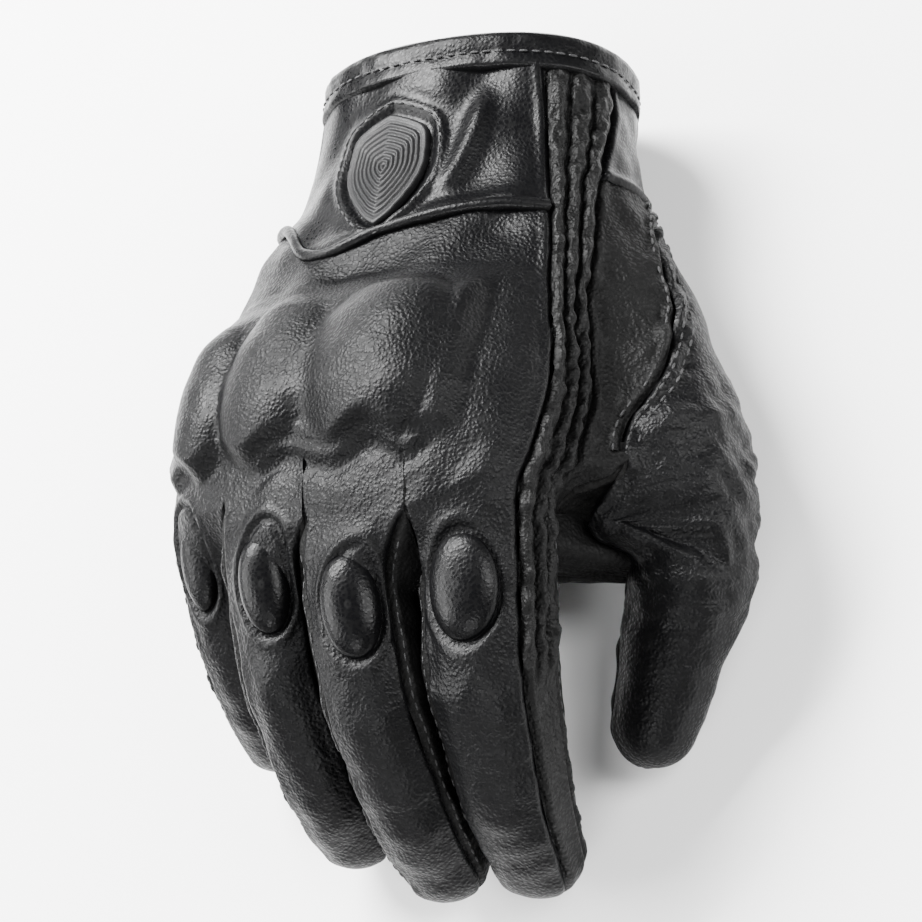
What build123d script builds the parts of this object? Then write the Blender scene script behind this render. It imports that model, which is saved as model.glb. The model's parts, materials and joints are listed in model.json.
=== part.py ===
"""A short-cuff leather riding glove for the right hand, lying palm down in its relaxed curl.

Units are millimetres. The hand frame has +X towards the thumb, +Y towards the wrist, +Z up out of
the back of the hand, and z = 0 on the table. Angles round a section run from the thumb side (0)
over the back (90) to the little finger side (180) and the palm (270).
"""

from build123d import *
import os
from math import cos, radians, sin, sqrt, tan

# ---- leather and seams -------------------------------------------------------------------
LEATHER = 1.2  # thickness of the goatskin
SEAM_GAP = 0.35  # air between two panels that are sewn edge to edge
LAYER_GAP = 0.3  # air between two layers that lie on each other
HINGE_GAP = 0.7  # air each side of a bend, at its axis
CRUMB = 1.0  # cubic millimetres; smaller leftovers of a cut are dropped

# ---- the hand tube: y, centre x, centre z, half width, half height, roll to the little finger
RIM_Y = 125.0
CUFF_END_Y = 80.0
HAND_SECTIONS = (
    (RIM_Y, 7.0, 28.5, 39.5, 27.0, 0.0),
    (100.0, 6.5, 29.5, 40.0, 26.0, 0.0),
    (74.0, 0.5, 36.0, 45.5, 24.5, 4.0),
    (46.0, -4.0, 45.0, 49.5, 23.0, 8.0),
    (22.0, -6.0, 51.5, 51.0, 20.0, 10.0),
    (-20.0, -6.5, 54.0, 50.0, 13.5, 10.0),
)
HAND_POWER = 2.3  # 2 is an ellipse, more is boxier
ANGLE_STEP = 6.0  # between the points that draw a section

# ---- panel seams round the hand, in degrees ----------------------------------------------
GUSSET_SEAM = -28.0
RIB_SEAM = 12.0
BACK_SEAM = 38.0
LITTLE_SEAM = 198.0
PALM_END = 360.0 + GUSSET_SEAM

PATCH_START_Y = 70.0
PATCH_END_Y = 10.0
PATCH_FIRST = 222.0
PATCH_LAST = 300.0

# ---- knuckle guard -----------------------------------------------------------------------
GUARD_START_Y = 66.0
GUARD_END_Y = 24.0
GUARD_EDGE = 4.0  # length of the leather's step up on to the guard
GUARD_SIDE = 6.0  # the same step at the sides, in degrees
GUARD_STEP = 3.6
GUARD_RISE = 4.6
GUARD_WALL = 2.0
GUARD_FIRST = 60.0
GUARD_LAST = 174.0
GUARD_INSET = 2.0  # degrees from the leather's step to the shell
GUARD_LOBES = 4
FOAM_FLOOR = 1.4  # depth of the foam's underside below the flat of the back

# ---- fingers: knuckle, lengths between bends, slopes below level, radii, yaw to the thumb
# base_bend and tip_bend are the distances of the two hinges from the knuckle; room is how far
# the finger's own slab of space reaches towards the little finger and towards the thumb.
FINGERS = {
    "index": dict(knuckle=(29.1, 12, 58), lengths=(46, 29, 17), slopes=(12, 36, 54),
                  widths=(15.2, 14.4, 12.2, 10.3), deep=0.95, yaw=1.3, base_bend=15,
                  tip_bend=48, room=(17.5, 24.0)),
    "middle": dict(knuckle=(-4.8, 9, 61), lengths=(47.5, 29, 15.5), slopes=(13, 40, 58),
                   widths=(11.9, 11.7, 11.3, 10.0), deep=1.08, yaw=9, base_bend=16,
                   tip_bend=50, room=(12.5, 14.1)),
    "ring": dict(knuckle=(-28.7, 13, 56.5), lengths=(45, 27, 15), slopes=(15, 41, 59),
                 widths=(11.0, 10.9, 10.5, 9.6), deep=1.12, yaw=8, base_bend=15,
                 tip_bend=48, room=(11.5, 11.6)),
    "little": dict(knuckle=(-49.8, 22, 47), lengths=(37, 20, 12), slopes=(18, 42, 58),
                   widths=(9.4, 9.4, 9.2, 8.8), deep=1.16, yaw=7.5, base_bend=13,
                   tip_bend=40, room=(22.0, 9.9)),
}
FINGER_POWER = 2.2
BEND_SPREAD = 8.0  # half the length over which a finger turns from one slope to the next
BACK_EDGE = 35.0  # the finger back's seam, degrees above level; the front's is below
TIP_OPENING = 1.9  # half width where the four finger panels meet at the tip
FINGER_STATIONS = 11
BASE_RANGE = (-8.0, 30.0)  # straighter, further curled
TIP_RANGE = (-8.0, 50.0)
RANGE_MARGIN = 1.5  # degrees of spare gap past each limit
BEND_REACH = 30.0  # how far above and below a hinge its gap is cut

# ---- finger pads -------------------------------------------------------------------------
PAD_TURN = 44.0  # degrees each side of the finger's top
PAD_EDGE = 0.8
PAD_RISE = 3.0
PAD_END_SPACE = 3.4  # from each hinge to the pad's end

# ---- thumb: path points and half widths --------------------------------------------------
THUMB_PATH = ((26, 110, 29), (56, 50, 27), (67, 0, 22), (54.5, -36, 12))
THUMB_WIDTHS = (15.0, 19.0, 15.0, 10.0)
THUMB_ROUNDING = 14.0
THUMB_BASE_BEND = 92.0  # distances from the path's start
THUMB_TIP_BEND = 119.0
THUMB_AXIS = (-0.28, -0.10, 0.955)  # the thumb opens away from the palm about this
THUMB_BASE_RANGE = (-20.0, 12.0)  # towards the palm, away from it
THUMB_TIP_RANGE = (-40.0, 15.0)
THUMB_STATIONS = 13
THUMB_ROOM = 26.0
THUMB_SEAM = -75.0

# ---- cuff, closure, patches, badge -------------------------------------------------------
BINDING_DEPTH = 7.0
BINDING_SKIN = 0.9
WELT_HALF = 1.6
WELT_RISE = 2.0
RIB_RISE = 2.2
RIB_COUNT = 3
RIB_SPACE = 1.6  # degrees between two ribs
RIB_SKIN = 0.9
RIB_FADE = 8.0  # length over which a rib rises out of the binding
RIB_BACKING_SKIN = 0.8
FORK_RADIUS = 6.0
FORK_SKIN = 0.8
FORK_DROP = 5.0
FORK_BACK = 9.5
PATCH_SKIN = 1.0
HEEL_PAD = (46.0, 24.0)
HEEL_PAD_Y = 106.0
HEEL_PAD_TOP = 7.0
STRAP_FREE = 205.0  # angles of the tab's free end, its bend and its sewn end
STRAP_BEND = 258.0
STRAP_SEWN = 278.0
STRAP_HALF = 9.0
STRAP_Y = 82.0
STRAP_SKIN = 1.5
STRAP_GAP = 1.0  # each side of the bend
HOOK_SKIN = 1.0
HOOK_LAST = 234.0
LOOP_LAST = 240.0
STRAP_RANGE = (0.0, 22.0)  # shut, open: further and it would meet the table
ELASTIC_SKIN = 1.0
BADGE_Y = 99.0
BADGE_ANGLE = 100.0
BADGE_HALF_WIDTH = 10.5
BADGE_HALF_LENGTH = 15.5
BADGE_SKIN = 1.8
BADGE_RIM = 2.4
BADGE_LIFT = 1.0
BADGE_TURN = 26.0  # degrees each side of it that its sheets are cut from


# ---- sections and panels -----------------------------------------------------------------
def smooth(t):
    """0 to 1 with level ends."""
    t = min(1.0, max(0.0, t))
    return t * t * (3 - 2 * t)


class Station:
    """One cross-section of a tube: its centre, its two directions, its half sizes."""

    def __init__(self, centre, across, up, half_width, half_height, power, along=0.0):
        self.centre = Vector(*centre)
        self.across = Vector(*across)
        self.up = Vector(*up)
        self.half_width = half_width
        self.half_height = half_height
        self.power = power
        self.along = along

    def point(self, angle, depth=0.0):
        """The point at that angle, depth below the surface, or above it if negative."""
        c, s = cos(radians(angle)), sin(radians(angle))
        x = abs(c) ** (2 / self.power) * (1 if c > 0 else -1)
        z = abs(s) ** (2 / self.power) * (1 if s > 0 else -1)
        wide = max(0.5, self.half_width - depth)
        tall = max(0.5, self.half_height - depth)
        return self.centre + self.across * (x * wide) + self.up * (z * tall)


def angles_between(first, last):
    """The ends and the whole grid steps between them, so that layers share their angles."""
    start = int(first // ANGLE_STEP) + 1
    stop = int(-(-last // ANGLE_STEP))
    inside = [i * ANGLE_STEP for i in range(start, stop)]
    inside = [a for a in inside if first + 1.5 < a < last - 1.5]
    return [first] + inside + [last]


def strip_wire(station, first, last, top, bottom):
    """The outline of a panel's cut edge: outer curve, inner curve and the two seams."""
    turns = angles_between(first, last)
    outer = [station.point(a, top(station, a)) for a in turns]
    inner = [station.point(a, bottom(station, a)) for a in reversed(turns)]
    return Wire([
        Spline(*outer),
        Line(outer[-1], inner[0]),
        Spline(*inner),
        Line(inner[-1], outer[0]),
    ])


def panel(stations, first, last, top=0.0, bottom=LEATHER):
    """A piece of sheet between two angles, from depth top to depth bottom."""
    upper = top if callable(top) else (lambda station, angle: top)
    lower = bottom if callable(bottom) else (lambda station, angle: bottom)
    edge = seam_angle(stations[0])
    wires = [strip_wire(s, first + edge, last - edge, upper, lower) for s in stations]
    return Solid.make_loft(wires, True)


def seam_angle(station):
    """Half the seam gap as an angle on that tube."""
    return SEAM_GAP / 2 / station.half_width * 57.3


def plug(stations, depth=0.0):
    """The tube filled solid, depth below its surface."""
    wires = []
    for station in stations:
        ring = [station.point(a, depth) for a in range(0, 360, 15)]
        wires.append(Wire([Spline(*ring, periodic=True)]))
    return Solid.make_loft(wires, True)


def whole(shape, at_least=1.0):
    """A boolean's result as a list of its solids, without its crumbs."""
    return [s for s in shape.solids() if s.volume > at_least]


# ---- the hand tube -----------------------------------------------------------------------
def hand_station(y):
    """The hand's section at y, faired between the stated ones."""
    rows = HAND_SECTIONS
    for before, after in zip(rows, rows[1:]):
        if y >= after[0]:
            break
    t = (before[0] - y) / (before[0] - after[0])
    x, z, wide, tall, roll = (a + (b - a) * t for a, b in zip(before[1:], after[1:]))
    lean = radians(roll)
    return Station(
        (x, y, z), (cos(lean), 0, sin(lean)), (-sin(lean), 0, cos(lean)), wide, tall, HAND_POWER, y
    )


def hand_stations(first, last, count):
    return [hand_station(first + (last - first) * i / count) for i in range(count + 1)]


def guard_depth(station, angle):
    """How far the back rises over the knuckle guard, as a negative depth."""
    into = smooth((GUARD_START_Y - station.along) / GUARD_EDGE)
    out = smooth((station.along - GUARD_END_Y) / GUARD_EDGE)
    near = smooth((angle - GUARD_FIRST + GUARD_SIDE) / GUARD_SIDE)
    far = smooth((GUARD_LAST + GUARD_SIDE - angle) / GUARD_SIDE)
    span = (angle - GUARD_FIRST) / (GUARD_LAST - GUARD_FIRST)
    lobe = abs(sin(radians(180 * GUARD_LOBES) * min(1.0, max(0.0, span))))
    length = (station.along - GUARD_END_Y) / (GUARD_START_Y - GUARD_END_Y)
    dome = sin(radians(180) * min(1.0, max(0.0, length)))
    return -into * out * near * far * (GUARD_STEP + GUARD_RISE * dome * (0.7 + 0.3 * lobe))


def below_guard(depth):
    return lambda station, angle: guard_depth(station, angle) + depth


# ---- finger tubes ------------------------------------------------------------------------
def finger_length(finger):
    return sum(finger["lengths"]) + finger["widths"][-1]


def finger_slope(finger, s):
    """Degrees below level at distance s from the knuckle, turning gently at each bend."""
    first, second, third = finger["slopes"]
    bend_1 = finger["lengths"][0]
    bend_2 = bend_1 + finger["lengths"][1]
    turn_1 = smooth((s - bend_1 + BEND_SPREAD) / (2 * BEND_SPREAD))
    turn_2 = smooth((s - bend_2 + BEND_SPREAD) / (2 * BEND_SPREAD))
    return first + (second - first) * turn_1 + (third - second) * turn_2


def finger_place(finger, s):
    """Centre and direction of the finger at distance s from the knuckle."""
    yaw = radians(finger["yaw"])
    at = Vector(*finger["knuckle"])
    steps = max(1, round(abs(s)))
    for i in range(steps):
        slope = radians(finger_slope(finger, s * (i + 0.5) / steps))
        way = Vector(sin(yaw) * cos(slope), -cos(yaw) * cos(slope), -sin(slope))
        at += way * (s / steps)
    slope = radians(finger_slope(finger, s))
    way = Vector(sin(yaw) * cos(slope), -cos(yaw) * cos(slope), -sin(slope))
    return at, way


def finger_station(finger, s):
    at, way = finger_place(finger, s)
    yaw = radians(finger["yaw"])
    across = Vector(cos(yaw), sin(yaw), 0)
    up = way.cross(across) * -1
    if up.Z < 0:
        up = up * -1
    marks = [0.0]
    for length in finger["lengths"]:
        marks.append(marks[-1] + length)
    wide = finger["widths"][0]
    for i, mark in enumerate(marks[:-1]):
        if s > mark:
            t = min(1.0, (s - mark) / (marks[i + 1] - mark))
            wide = finger["widths"][i] + (finger["widths"][i + 1] - finger["widths"][i]) * t
    over = s - marks[-1]
    if over > 0:
        wide = max(TIP_OPENING, sqrt(max(0.0, finger["widths"][-1] ** 2 - over**2)))
    return Station(at, across, up, wide, wide * finger["deep"], FINGER_POWER, s)


def finger_stations(finger, first, last=None):
    """Sections from first to last, or to the rounded tip, where they stand closer."""
    end = sum(finger["lengths"])
    straight = end if last is None else last
    count = FINGER_STATIONS - 1
    places = [first + (straight - first) * i / count for i in range(count + 1)]
    if last is None:
        places += [end + finger["widths"][-1] * share for share in (0.4, 0.7, 0.9, 0.98)]
    return [finger_station(finger, s) for s in places]


def bend_plane(finger, s):
    """The plane across the finger's width at a hinge: its x runs along the finger, y up."""
    station = finger_station(finger, s)
    way = finger_place(finger, s)[1]
    return Plane(origin=station.centre, x_dir=way, z_dir=way.cross(station.up))


def past_bend(plane, limits, room, side, reach=BEND_REACH):
    """Everything past a hinge: side 1 starts beyond its gap, side -1 takes the gap as well.

    limits are the turns that open the gap above and below; room is how far the space goes
    along the hinge, to its far side and to its near side.
    """
    above = HINGE_GAP + reach * tan(radians((RANGE_MARGIN - limits[0]) / 2))
    below = HINGE_GAP + reach * tan(radians((RANGE_MARGIN + limits[1]) / 2))
    outline = [
        (side * above, reach),
        (side * HINGE_GAP, 0.0),
        (side * below, -reach),
        (3 * reach, -reach),
        (3 * reach, reach),
    ]
    corners = [plane.from_local_coords((x, y, -room[1])) for x, y in outline]
    return extrude(Face(Wire.make_polygon(corners)), amount=sum(room), dir=plane.z_dir)


# ---- thumb tube --------------------------------------------------------------------------
def thumb_points():
    return [Vector(*p) for p in THUMB_PATH]


def thumb_marks():
    points = thumb_points()
    marks = [0.0]
    for a, b in zip(points, points[1:]):
        marks.append(marks[-1] + (b - a).length)
    return marks


def thumb_way(s):
    """The thumb's direction at distance s, turned gently at each path point."""
    points, marks = thumb_points(), thumb_marks()
    ways = [(b - a).normalized() for a, b in zip(points, points[1:])]
    way = ways[0]
    for mark, after in zip(marks[1:-1], ways[1:]):
        t = smooth((s - mark + THUMB_ROUNDING) / (2 * THUMB_ROUNDING))
        way = way * (1 - t) + after * t
    return way.normalized()


def thumb_centre(s):
    at = thumb_points()[0]
    steps = max(1, round(s))
    for i in range(steps):
        at = at + thumb_way(s * (i + 0.5) / steps) * (s / steps)
    return at


def thumb_station(s):
    way = thumb_way(s)
    axis = Vector(*THUMB_AXIS)
    up = (axis - way * axis.dot(way)).normalized()
    across = way.cross(up) * -1
    marks = thumb_marks()
    wide = THUMB_WIDTHS[0]
    for i, mark in enumerate(marks[:-1]):
        if s > mark:
            t = min(1.0, (s - mark) / (marks[i + 1] - mark))
            wide = THUMB_WIDTHS[i] + (THUMB_WIDTHS[i + 1] - THUMB_WIDTHS[i]) * t
    over = s - marks[-1]
    if over > 0:
        wide = max(TIP_OPENING, sqrt(max(0.0, THUMB_WIDTHS[-1] ** 2 - over**2)))
    return Station(thumb_centre(s), across, up, wide, wide * 0.92, FINGER_POWER, s)


def thumb_stations(first, last=None):
    end = thumb_marks()[-1]
    straight = end if last is None else last
    count = THUMB_STATIONS - 1
    places = [first + (straight - first) * i / count for i in range(count + 1)]
    if last is None:
        places += [end + THUMB_WIDTHS[-1] * share for share in (0.4, 0.7, 0.9, 0.98)]
    return [thumb_station(s) for s in places]


def thumb_plane(s):
    """A hinge plane on the thumb: x along it, y away from the palm, z along its axis."""
    axis = Vector(*THUMB_AXIS).normalized()
    way = thumb_way(s)
    way = (way - axis * way.dot(axis)).normalized()
    return Plane(origin=thumb_centre(s), x_dir=way, z_dir=axis)


# ---- assembly of nodes -------------------------------------------------------------------
nodes = {}


def keep(name, *solids):
    """Store a node's solids, without crumbs."""
    kept = []
    for shape in solids:
        kept += [solid for solid in shape.solids() if solid.volume > CRUMB]
    nodes[name] = kept


def trim(shape, cutters):
    for cutter in cutters:
        shape = shape - cutter
    return shape


hand_core = plug(hand_stations(RIM_Y + 6, 24.0, 16), -SEAM_GAP)
thumb_core = plug(thumb_stations(4.0, THUMB_BASE_BEND + 4), -SEAM_GAP)
base_planes = {name: bend_plane(f, f["base_bend"]) for name, f in FINGERS.items()}
tip_planes = {name: bend_plane(f, f["tip_bend"]) for name, f in FINGERS.items()}
knuckle_cuts = [past_bend(base_planes[n], BASE_RANGE, f["room"], -1) for n, f in FINGERS.items()]
palm_stations = hand_stations(CUFF_END_Y - SEAM_GAP, -20.0, 20)

# the back of the hand, from the cuff to the knuckles, shaped over the guard
back_ys = [CUFF_END_Y - WELT_HALF - SEAM_GAP, 72.0, GUARD_START_Y + 1]
back_ys += [GUARD_START_Y - GUARD_EDGE * i / 2 for i in range(3)]
guard_length = GUARD_START_Y - GUARD_END_Y - 2 * GUARD_EDGE
back_ys += [GUARD_START_Y - GUARD_EDGE - guard_length * i / 6 for i in range(1, 6)]
back_ys += [GUARD_END_Y + GUARD_EDGE * i / 2 for i in (2, 1, 0)]
back_ys += [GUARD_END_Y - 1, 14.0, 4.0, -8.0, -20.0]
back_stations = [hand_station(y) for y in back_ys]
back = panel(back_stations, BACK_SEAM, LITTLE_SEAM, below_guard(0.0), below_guard(LEATHER))
keep("back_panel", trim(back, knuckle_cuts))

shell_top = LEATHER + LAYER_GAP
foam_top = shell_top + GUARD_WALL + LAYER_GAP
guard_ys = [y for y in back_ys if GUARD_END_Y + GUARD_EDGE <= y <= GUARD_START_Y - GUARD_EDGE]
guard_stations = [hand_station(y) for y in guard_ys]
keep("knuckle_guard", panel(guard_stations, GUARD_FIRST + GUARD_INSET, GUARD_LAST - GUARD_INSET,
                            below_guard(shell_top), below_guard(shell_top + GUARD_WALL)))
keep("guard_foam", panel(guard_stations, GUARD_FIRST + GUARD_INSET, GUARD_LAST - GUARD_INSET,
                         below_guard(foam_top), FOAM_FLOOR))

# the palm, the gusset beside the ribs, and the ribs themselves
keep("palm_panel", trim(panel(palm_stations, LITTLE_SEAM, PALM_END), knuckle_cuts + [thumb_core]))
gusset = panel(palm_stations, GUSSET_SEAM, RIB_SEAM)
keep("side_gusset", trim(gusset, knuckle_cuts[:1] + [thumb_core]))

rib_stations = hand_stations(RIM_Y, -20.0, 20)


def rib_top(first, last):
    """The outward bulge of one rib, which lies flat under the binding."""

    def depth(station, angle):
        share = min(1.0, max(0.0, (angle - first) / (last - first)))
        free = smooth((RIM_Y - BINDING_DEPTH - 1 - station.along) / RIB_FADE)
        return -RIB_RISE * sin(radians(180) * share) * free

    return depth


ribs = []
rib_pitch = (BACK_SEAM - RIB_SEAM) / RIB_COUNT
for i in range(RIB_COUNT):
    rib_first = RIB_SEAM + i * rib_pitch + RIB_SPACE / 2
    rib_last = RIB_SEAM + (i + 1) * rib_pitch - RIB_SPACE / 2
    rib = panel(rib_stations, rib_first, rib_last, rib_top(rib_first, rib_last), RIB_SKIN)
    ribs += trim(rib, knuckle_cuts[:2]).solids()
keep("stretch_ribs", *ribs)
backing_stations = hand_stations(RIM_Y - 1, -20.0, 16)
backing_top = RIB_SKIN + LAYER_GAP
backing = panel(backing_stations, RIB_SEAM + 0.6, BACK_SEAM - 0.6, backing_top,
                backing_top + RIB_BACKING_SKIN)
keep("rib_backing", trim(backing, knuckle_cuts[:2] + [thumb_core]))

# the cuff: back, side and palm, its welt and its binding
cuff_stations = hand_stations(RIM_Y, CUFF_END_Y + WELT_HALF + SEAM_GAP, 5)
keep("cuff_back", panel(cuff_stations, BACK_SEAM, LITTLE_SEAM))
side_stations = hand_stations(RIM_Y, CUFF_END_Y, 6)
keep("cuff_side", trim(panel(side_stations, GUSSET_SEAM, RIB_SEAM), [thumb_core]))
keep("cuff_palm", trim(panel(side_stations, LITTLE_SEAM, PALM_END), [thumb_core]))
welt_stations = hand_stations(CUFF_END_Y + WELT_HALF, CUFF_END_Y - WELT_HALF, 2)
keep("cuff_welt", panel(welt_stations, BACK_SEAM, LITTLE_SEAM, -WELT_RISE, LEATHER))

binding_inner = backing_top + RIB_BACKING_SKIN + LAYER_GAP
binding_stations = hand_stations(RIM_Y + BINDING_SKIN + LAYER_GAP, RIM_Y - BINDING_DEPTH, 4)
slot_stations = hand_stations(RIM_Y + LAYER_GAP, RIM_Y - BINDING_DEPTH - 2, 4)
binding = plug(binding_stations, -LAYER_GAP - BINDING_SKIN)
binding -= plug(hand_stations(RIM_Y + 4, RIM_Y - BINDING_DEPTH - 2, 4),
                binding_inner + BINDING_SKIN)
binding -= plug(slot_stations, -LAYER_GAP) - plug(slot_stations, binding_inner)
keep("cuff_binding", binding)
elastic_stations = hand_stations(CUFF_END_Y + 8, CUFF_END_Y - 4, 4)
elastic_top = LEATHER + LAYER_GAP
keep("wrist_elastic", panel(elastic_stations, LITTLE_SEAM + 12, LITTLE_SEAM + 62, elastic_top,
                            elastic_top + ELASTIC_SKIN))

# the palm's overlay, the heel pad that it rests on, and the closing tab
patch_stations = hand_stations(PATCH_START_Y, PATCH_END_Y, 8)
patch = panel(patch_stations, PATCH_FIRST, PATCH_LAST, -LAYER_GAP - PATCH_SKIN, -LAYER_GAP)
keep("palm_patch", trim(patch, knuckle_cuts + [thumb_core]))

heel_x = hand_station(HEEL_PAD_Y).centre.X
heel = Pos(heel_x, HEEL_PAD_Y, HEEL_PAD_TOP / 2) * Box(*HEEL_PAD, HEEL_PAD_TOP)
heel_top = plug(hand_stations(RIM_Y, HEEL_PAD_Y - 16, 12), -2 * LAYER_GAP)
keep("heel_pad", heel - heel_top)

strap_stations = hand_stations(STRAP_Y + STRAP_HALF, STRAP_Y - STRAP_HALF, 4)
loop_stations = strap_stations[1:-1]
loop_top = -LAYER_GAP - HOOK_SKIN
hook_top = loop_top - LAYER_GAP - HOOK_SKIN
strap_under = hook_top - 0.02
strap_top = strap_under - STRAP_SKIN
strap_station = hand_station(STRAP_Y)
bend_turn = STRAP_GAP / strap_station.half_width * 57.3
keep("loop_patch", panel(strap_stations, STRAP_FREE, LOOP_LAST, loop_top, -LAYER_GAP))
keep("hook_patch", panel(loop_stations, STRAP_FREE + 3, HOOK_LAST, hook_top, loop_top - LAYER_GAP))
keep("closure_strap", panel(strap_stations, STRAP_FREE, STRAP_BEND - bend_turn, strap_top,
                            strap_under))
keep("strap_anchor", panel(strap_stations, STRAP_BEND + bend_turn, STRAP_SEWN, strap_top,
                           -LAYER_GAP))

# the badge on the cuff: a rubber shield on a leather backing, both bent to the cuff
badge_middle = hand_station(BADGE_Y)
badge_at = badge_middle.point(BADGE_ANGLE)
badge_out = (badge_middle.point(BADGE_ANGLE, -5) - badge_at).normalized()
badge_plane = Plane(origin=badge_at - badge_out * 8, x_dir=Vector(0, -1, 0).cross(badge_out) * -1,
                    z_dir=badge_out)


def shield(grow):
    """The badge's outline, a shield with its point towards the fingers."""
    wide, long = BADGE_HALF_WIDTH + grow, BADGE_HALF_LENGTH + grow
    points = [(0, long), (wide * 0.9, long * 0.72), (wide, 0.1 * long), (wide * 0.62, -long * 0.6),
              (0, -long), (-wide * 0.62, -long * 0.6), (-wide, 0.1 * long),
              (-wide * 0.9, long * 0.72)]
    corners = [badge_plane.from_local_coords((x, y, 0)) for x, y in points]
    return extrude(Face(Wire.make_polygon(corners)), amount=16, dir=badge_out)


badge_stations = hand_stations(RIM_Y - BINDING_DEPTH - 0.4, CUFF_END_Y + WELT_HALF + 0.4, 5)
lining_top = -LAYER_GAP - BADGE_LIFT
lining = panel(badge_stations, BADGE_ANGLE - BADGE_TURN, BADGE_ANGLE + BADGE_TURN, lining_top,
               -LAYER_GAP)
keep("emblem_backing", lining & shield(BADGE_RIM))
rubber_low = lining_top - LAYER_GAP
rubber = panel(badge_stations, BADGE_ANGLE - BADGE_TURN, BADGE_ANGLE + BADGE_TURN,
               rubber_low - BADGE_SKIN, rubber_low)
keep("emblem_badge", rubber & shield(0))

# the thumb
rib_room = panel(rib_stations, RIB_SEAM - 1, BACK_SEAM, -RIB_RISE - SEAM_GAP, 2 * LEATHER)
thumb_planes = [thumb_plane(THUMB_BASE_BEND), thumb_plane(THUMB_TIP_BEND)]
thumb_limits = [(-r[1], -r[0]) for r in (THUMB_BASE_RANGE, THUMB_TIP_RANGE)]
thumb_room = (THUMB_ROOM, THUMB_ROOM)
before_base = past_bend(thumb_planes[0], thumb_limits[0], thumb_room, -1)
after_base = past_bend(thumb_planes[0], thumb_limits[0], thumb_room, 1)
before_tip = past_bend(thumb_planes[1], thumb_limits[1], thumb_room, -1)
after_tip = past_bend(thumb_planes[1], thumb_limits[1], thumb_room, 1)
halves = {"outer": (THUMB_SEAM, THUMB_SEAM + 180), "inner": (THUMB_SEAM + 180, THUMB_SEAM + 360)}
for half, (first, last) in halves.items():
    root = panel(thumb_stations(4.0, THUMB_BASE_BEND + 14), first, last)
    keep(f"thumb_root_{half}", root - hand_core - rib_room - before_base)
    middle = panel(thumb_stations(THUMB_BASE_BEND - 14, THUMB_TIP_BEND + 16), first, last)
    keep(f"thumb_base_{half}", (middle & after_base) - before_tip)
    end = panel(thumb_stations(THUMB_TIP_BEND - 16), first, last)
    keep(f"thumb_tip_{half}", end & after_tip)

# the fingers
quarters = {
    "back": [(BACK_EDGE, 180 - BACK_EDGE)],
    "sides": [(-BACK_EDGE, BACK_EDGE), (180 - BACK_EDGE, 180 + BACK_EDGE)],
    "front": [(180 + BACK_EDGE, 360 - BACK_EDGE)],
}


def pad_wire(finger, s, start, stop):
    """One section of the oval pad on the finger's back."""
    station = finger_station(finger, s)
    share = (s - start) / (stop - start)
    oval = sqrt(max(0.06, 1 - (2 * share - 1) ** 2))
    turn = PAD_TURN * oval

    def top(at, angle):
        across = cos(radians(90) * min(1.0, abs(angle - 90) / PAD_TURN))
        return -LAYER_GAP - PAD_EDGE - PAD_RISE * sqrt(max(0.0, across)) * oval

    return strip_wire(station, 90 - turn, 90 + turn, top, lambda at, angle: -LAYER_GAP)


for name, finger in FINGERS.items():
    base, tip = finger["base_bend"], finger["tip_bend"]
    room = finger["room"]
    before_base = past_bend(base_planes[name], BASE_RANGE, room, -1)
    after_base = past_bend(base_planes[name], BASE_RANGE, room, 1)
    before_tip = past_bend(tip_planes[name], TIP_RANGE, room, -1)
    after_tip = past_bend(tip_planes[name], TIP_RANGE, room, 1)
    base_stations = finger_stations(finger, base - 12, tip + 14)
    tip_stations = finger_stations(finger, tip - 14)
    for quarter, spans in quarters.items():
        lengths = [panel(base_stations, *span) for span in spans]
        keep(f"{name}_base_{quarter}", *[(p & after_base) - before_tip for p in lengths])
        ends = [panel(tip_stations, *span) for span in spans]
        keep(f"{name}_tip_{quarter}", *[p & after_tip for p in ends])
    rise = tan(radians((RANGE_MARGIN - BASE_RANGE[0]) / 2)) * (finger["widths"][0] + PAD_RISE)
    start = base + PAD_END_SPACE + rise
    rise = tan(radians((RANGE_MARGIN - TIP_RANGE[0]) / 2)) * (finger["widths"][1] + PAD_RISE)
    stop = tip - PAD_END_SPACE - rise
    pad_places = [start + (stop - start) * i / 8 for i in range(9)]
    keep(f"{name}_pad", Solid.make_loft([pad_wire(finger, s, start, stop) for s in pad_places],
                                        True))

# the forks between the fingers, each a thin upright crescent of leather
for low, high in (("index", "middle"), ("middle", "ring"), ("ring", "little")):
    near, far = FINGERS[low], FINGERS[high]
    edge_near = base_planes[low].origin.X - near["widths"][0]
    edge_far = base_planes[high].origin.X + far["widths"][0]
    middle_x = (edge_near + edge_far) / 2
    fork_y = max(base_planes[low].origin.Y, base_planes[high].origin.Y) + FORK_BACK
    fork_z = min(base_planes[low].origin.Z, base_planes[high].origin.Z) - FORK_DROP
    fork = Pos(middle_x, fork_y, fork_z) * Rot(0, 90, 0) * Cylinder(FORK_RADIUS, FORK_SKIN)
    keep(f"fork_{low}_{high}", fork)

# ---- one frame: the middle of the whole at x = 0 and y = 0, the lowest point at z = 0 -----
everything = [solid for solids in nodes.values() for solid in solids]
lows = [s.bounding_box().min for s in everything]
highs = [s.bounding_box().max for s in everything]
shift = Vector(
    -(min(p.X for p in lows) + max(p.X for p in highs)) / 2,
    -(min(p.Y for p in lows) + max(p.Y for p in highs)) / 2,
    -min(p.Z for p in lows),
)
print("shift", tuple(round(v, 4) for v in shift))
for name, plane in base_planes.items():
    print("hinge", name, "base", plane.origin + shift, FINGERS[name]["yaw"])
    print("hinge", name, "tip", tip_planes[name].origin + shift)
for plane in thumb_planes:
    print("hinge thumb", plane.origin + shift, plane.z_dir)
bend = strap_station.point(STRAP_BEND, (strap_under + strap_top) / 2)
print("hinge strap", bend + shift, STRAP_RANGE)

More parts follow.
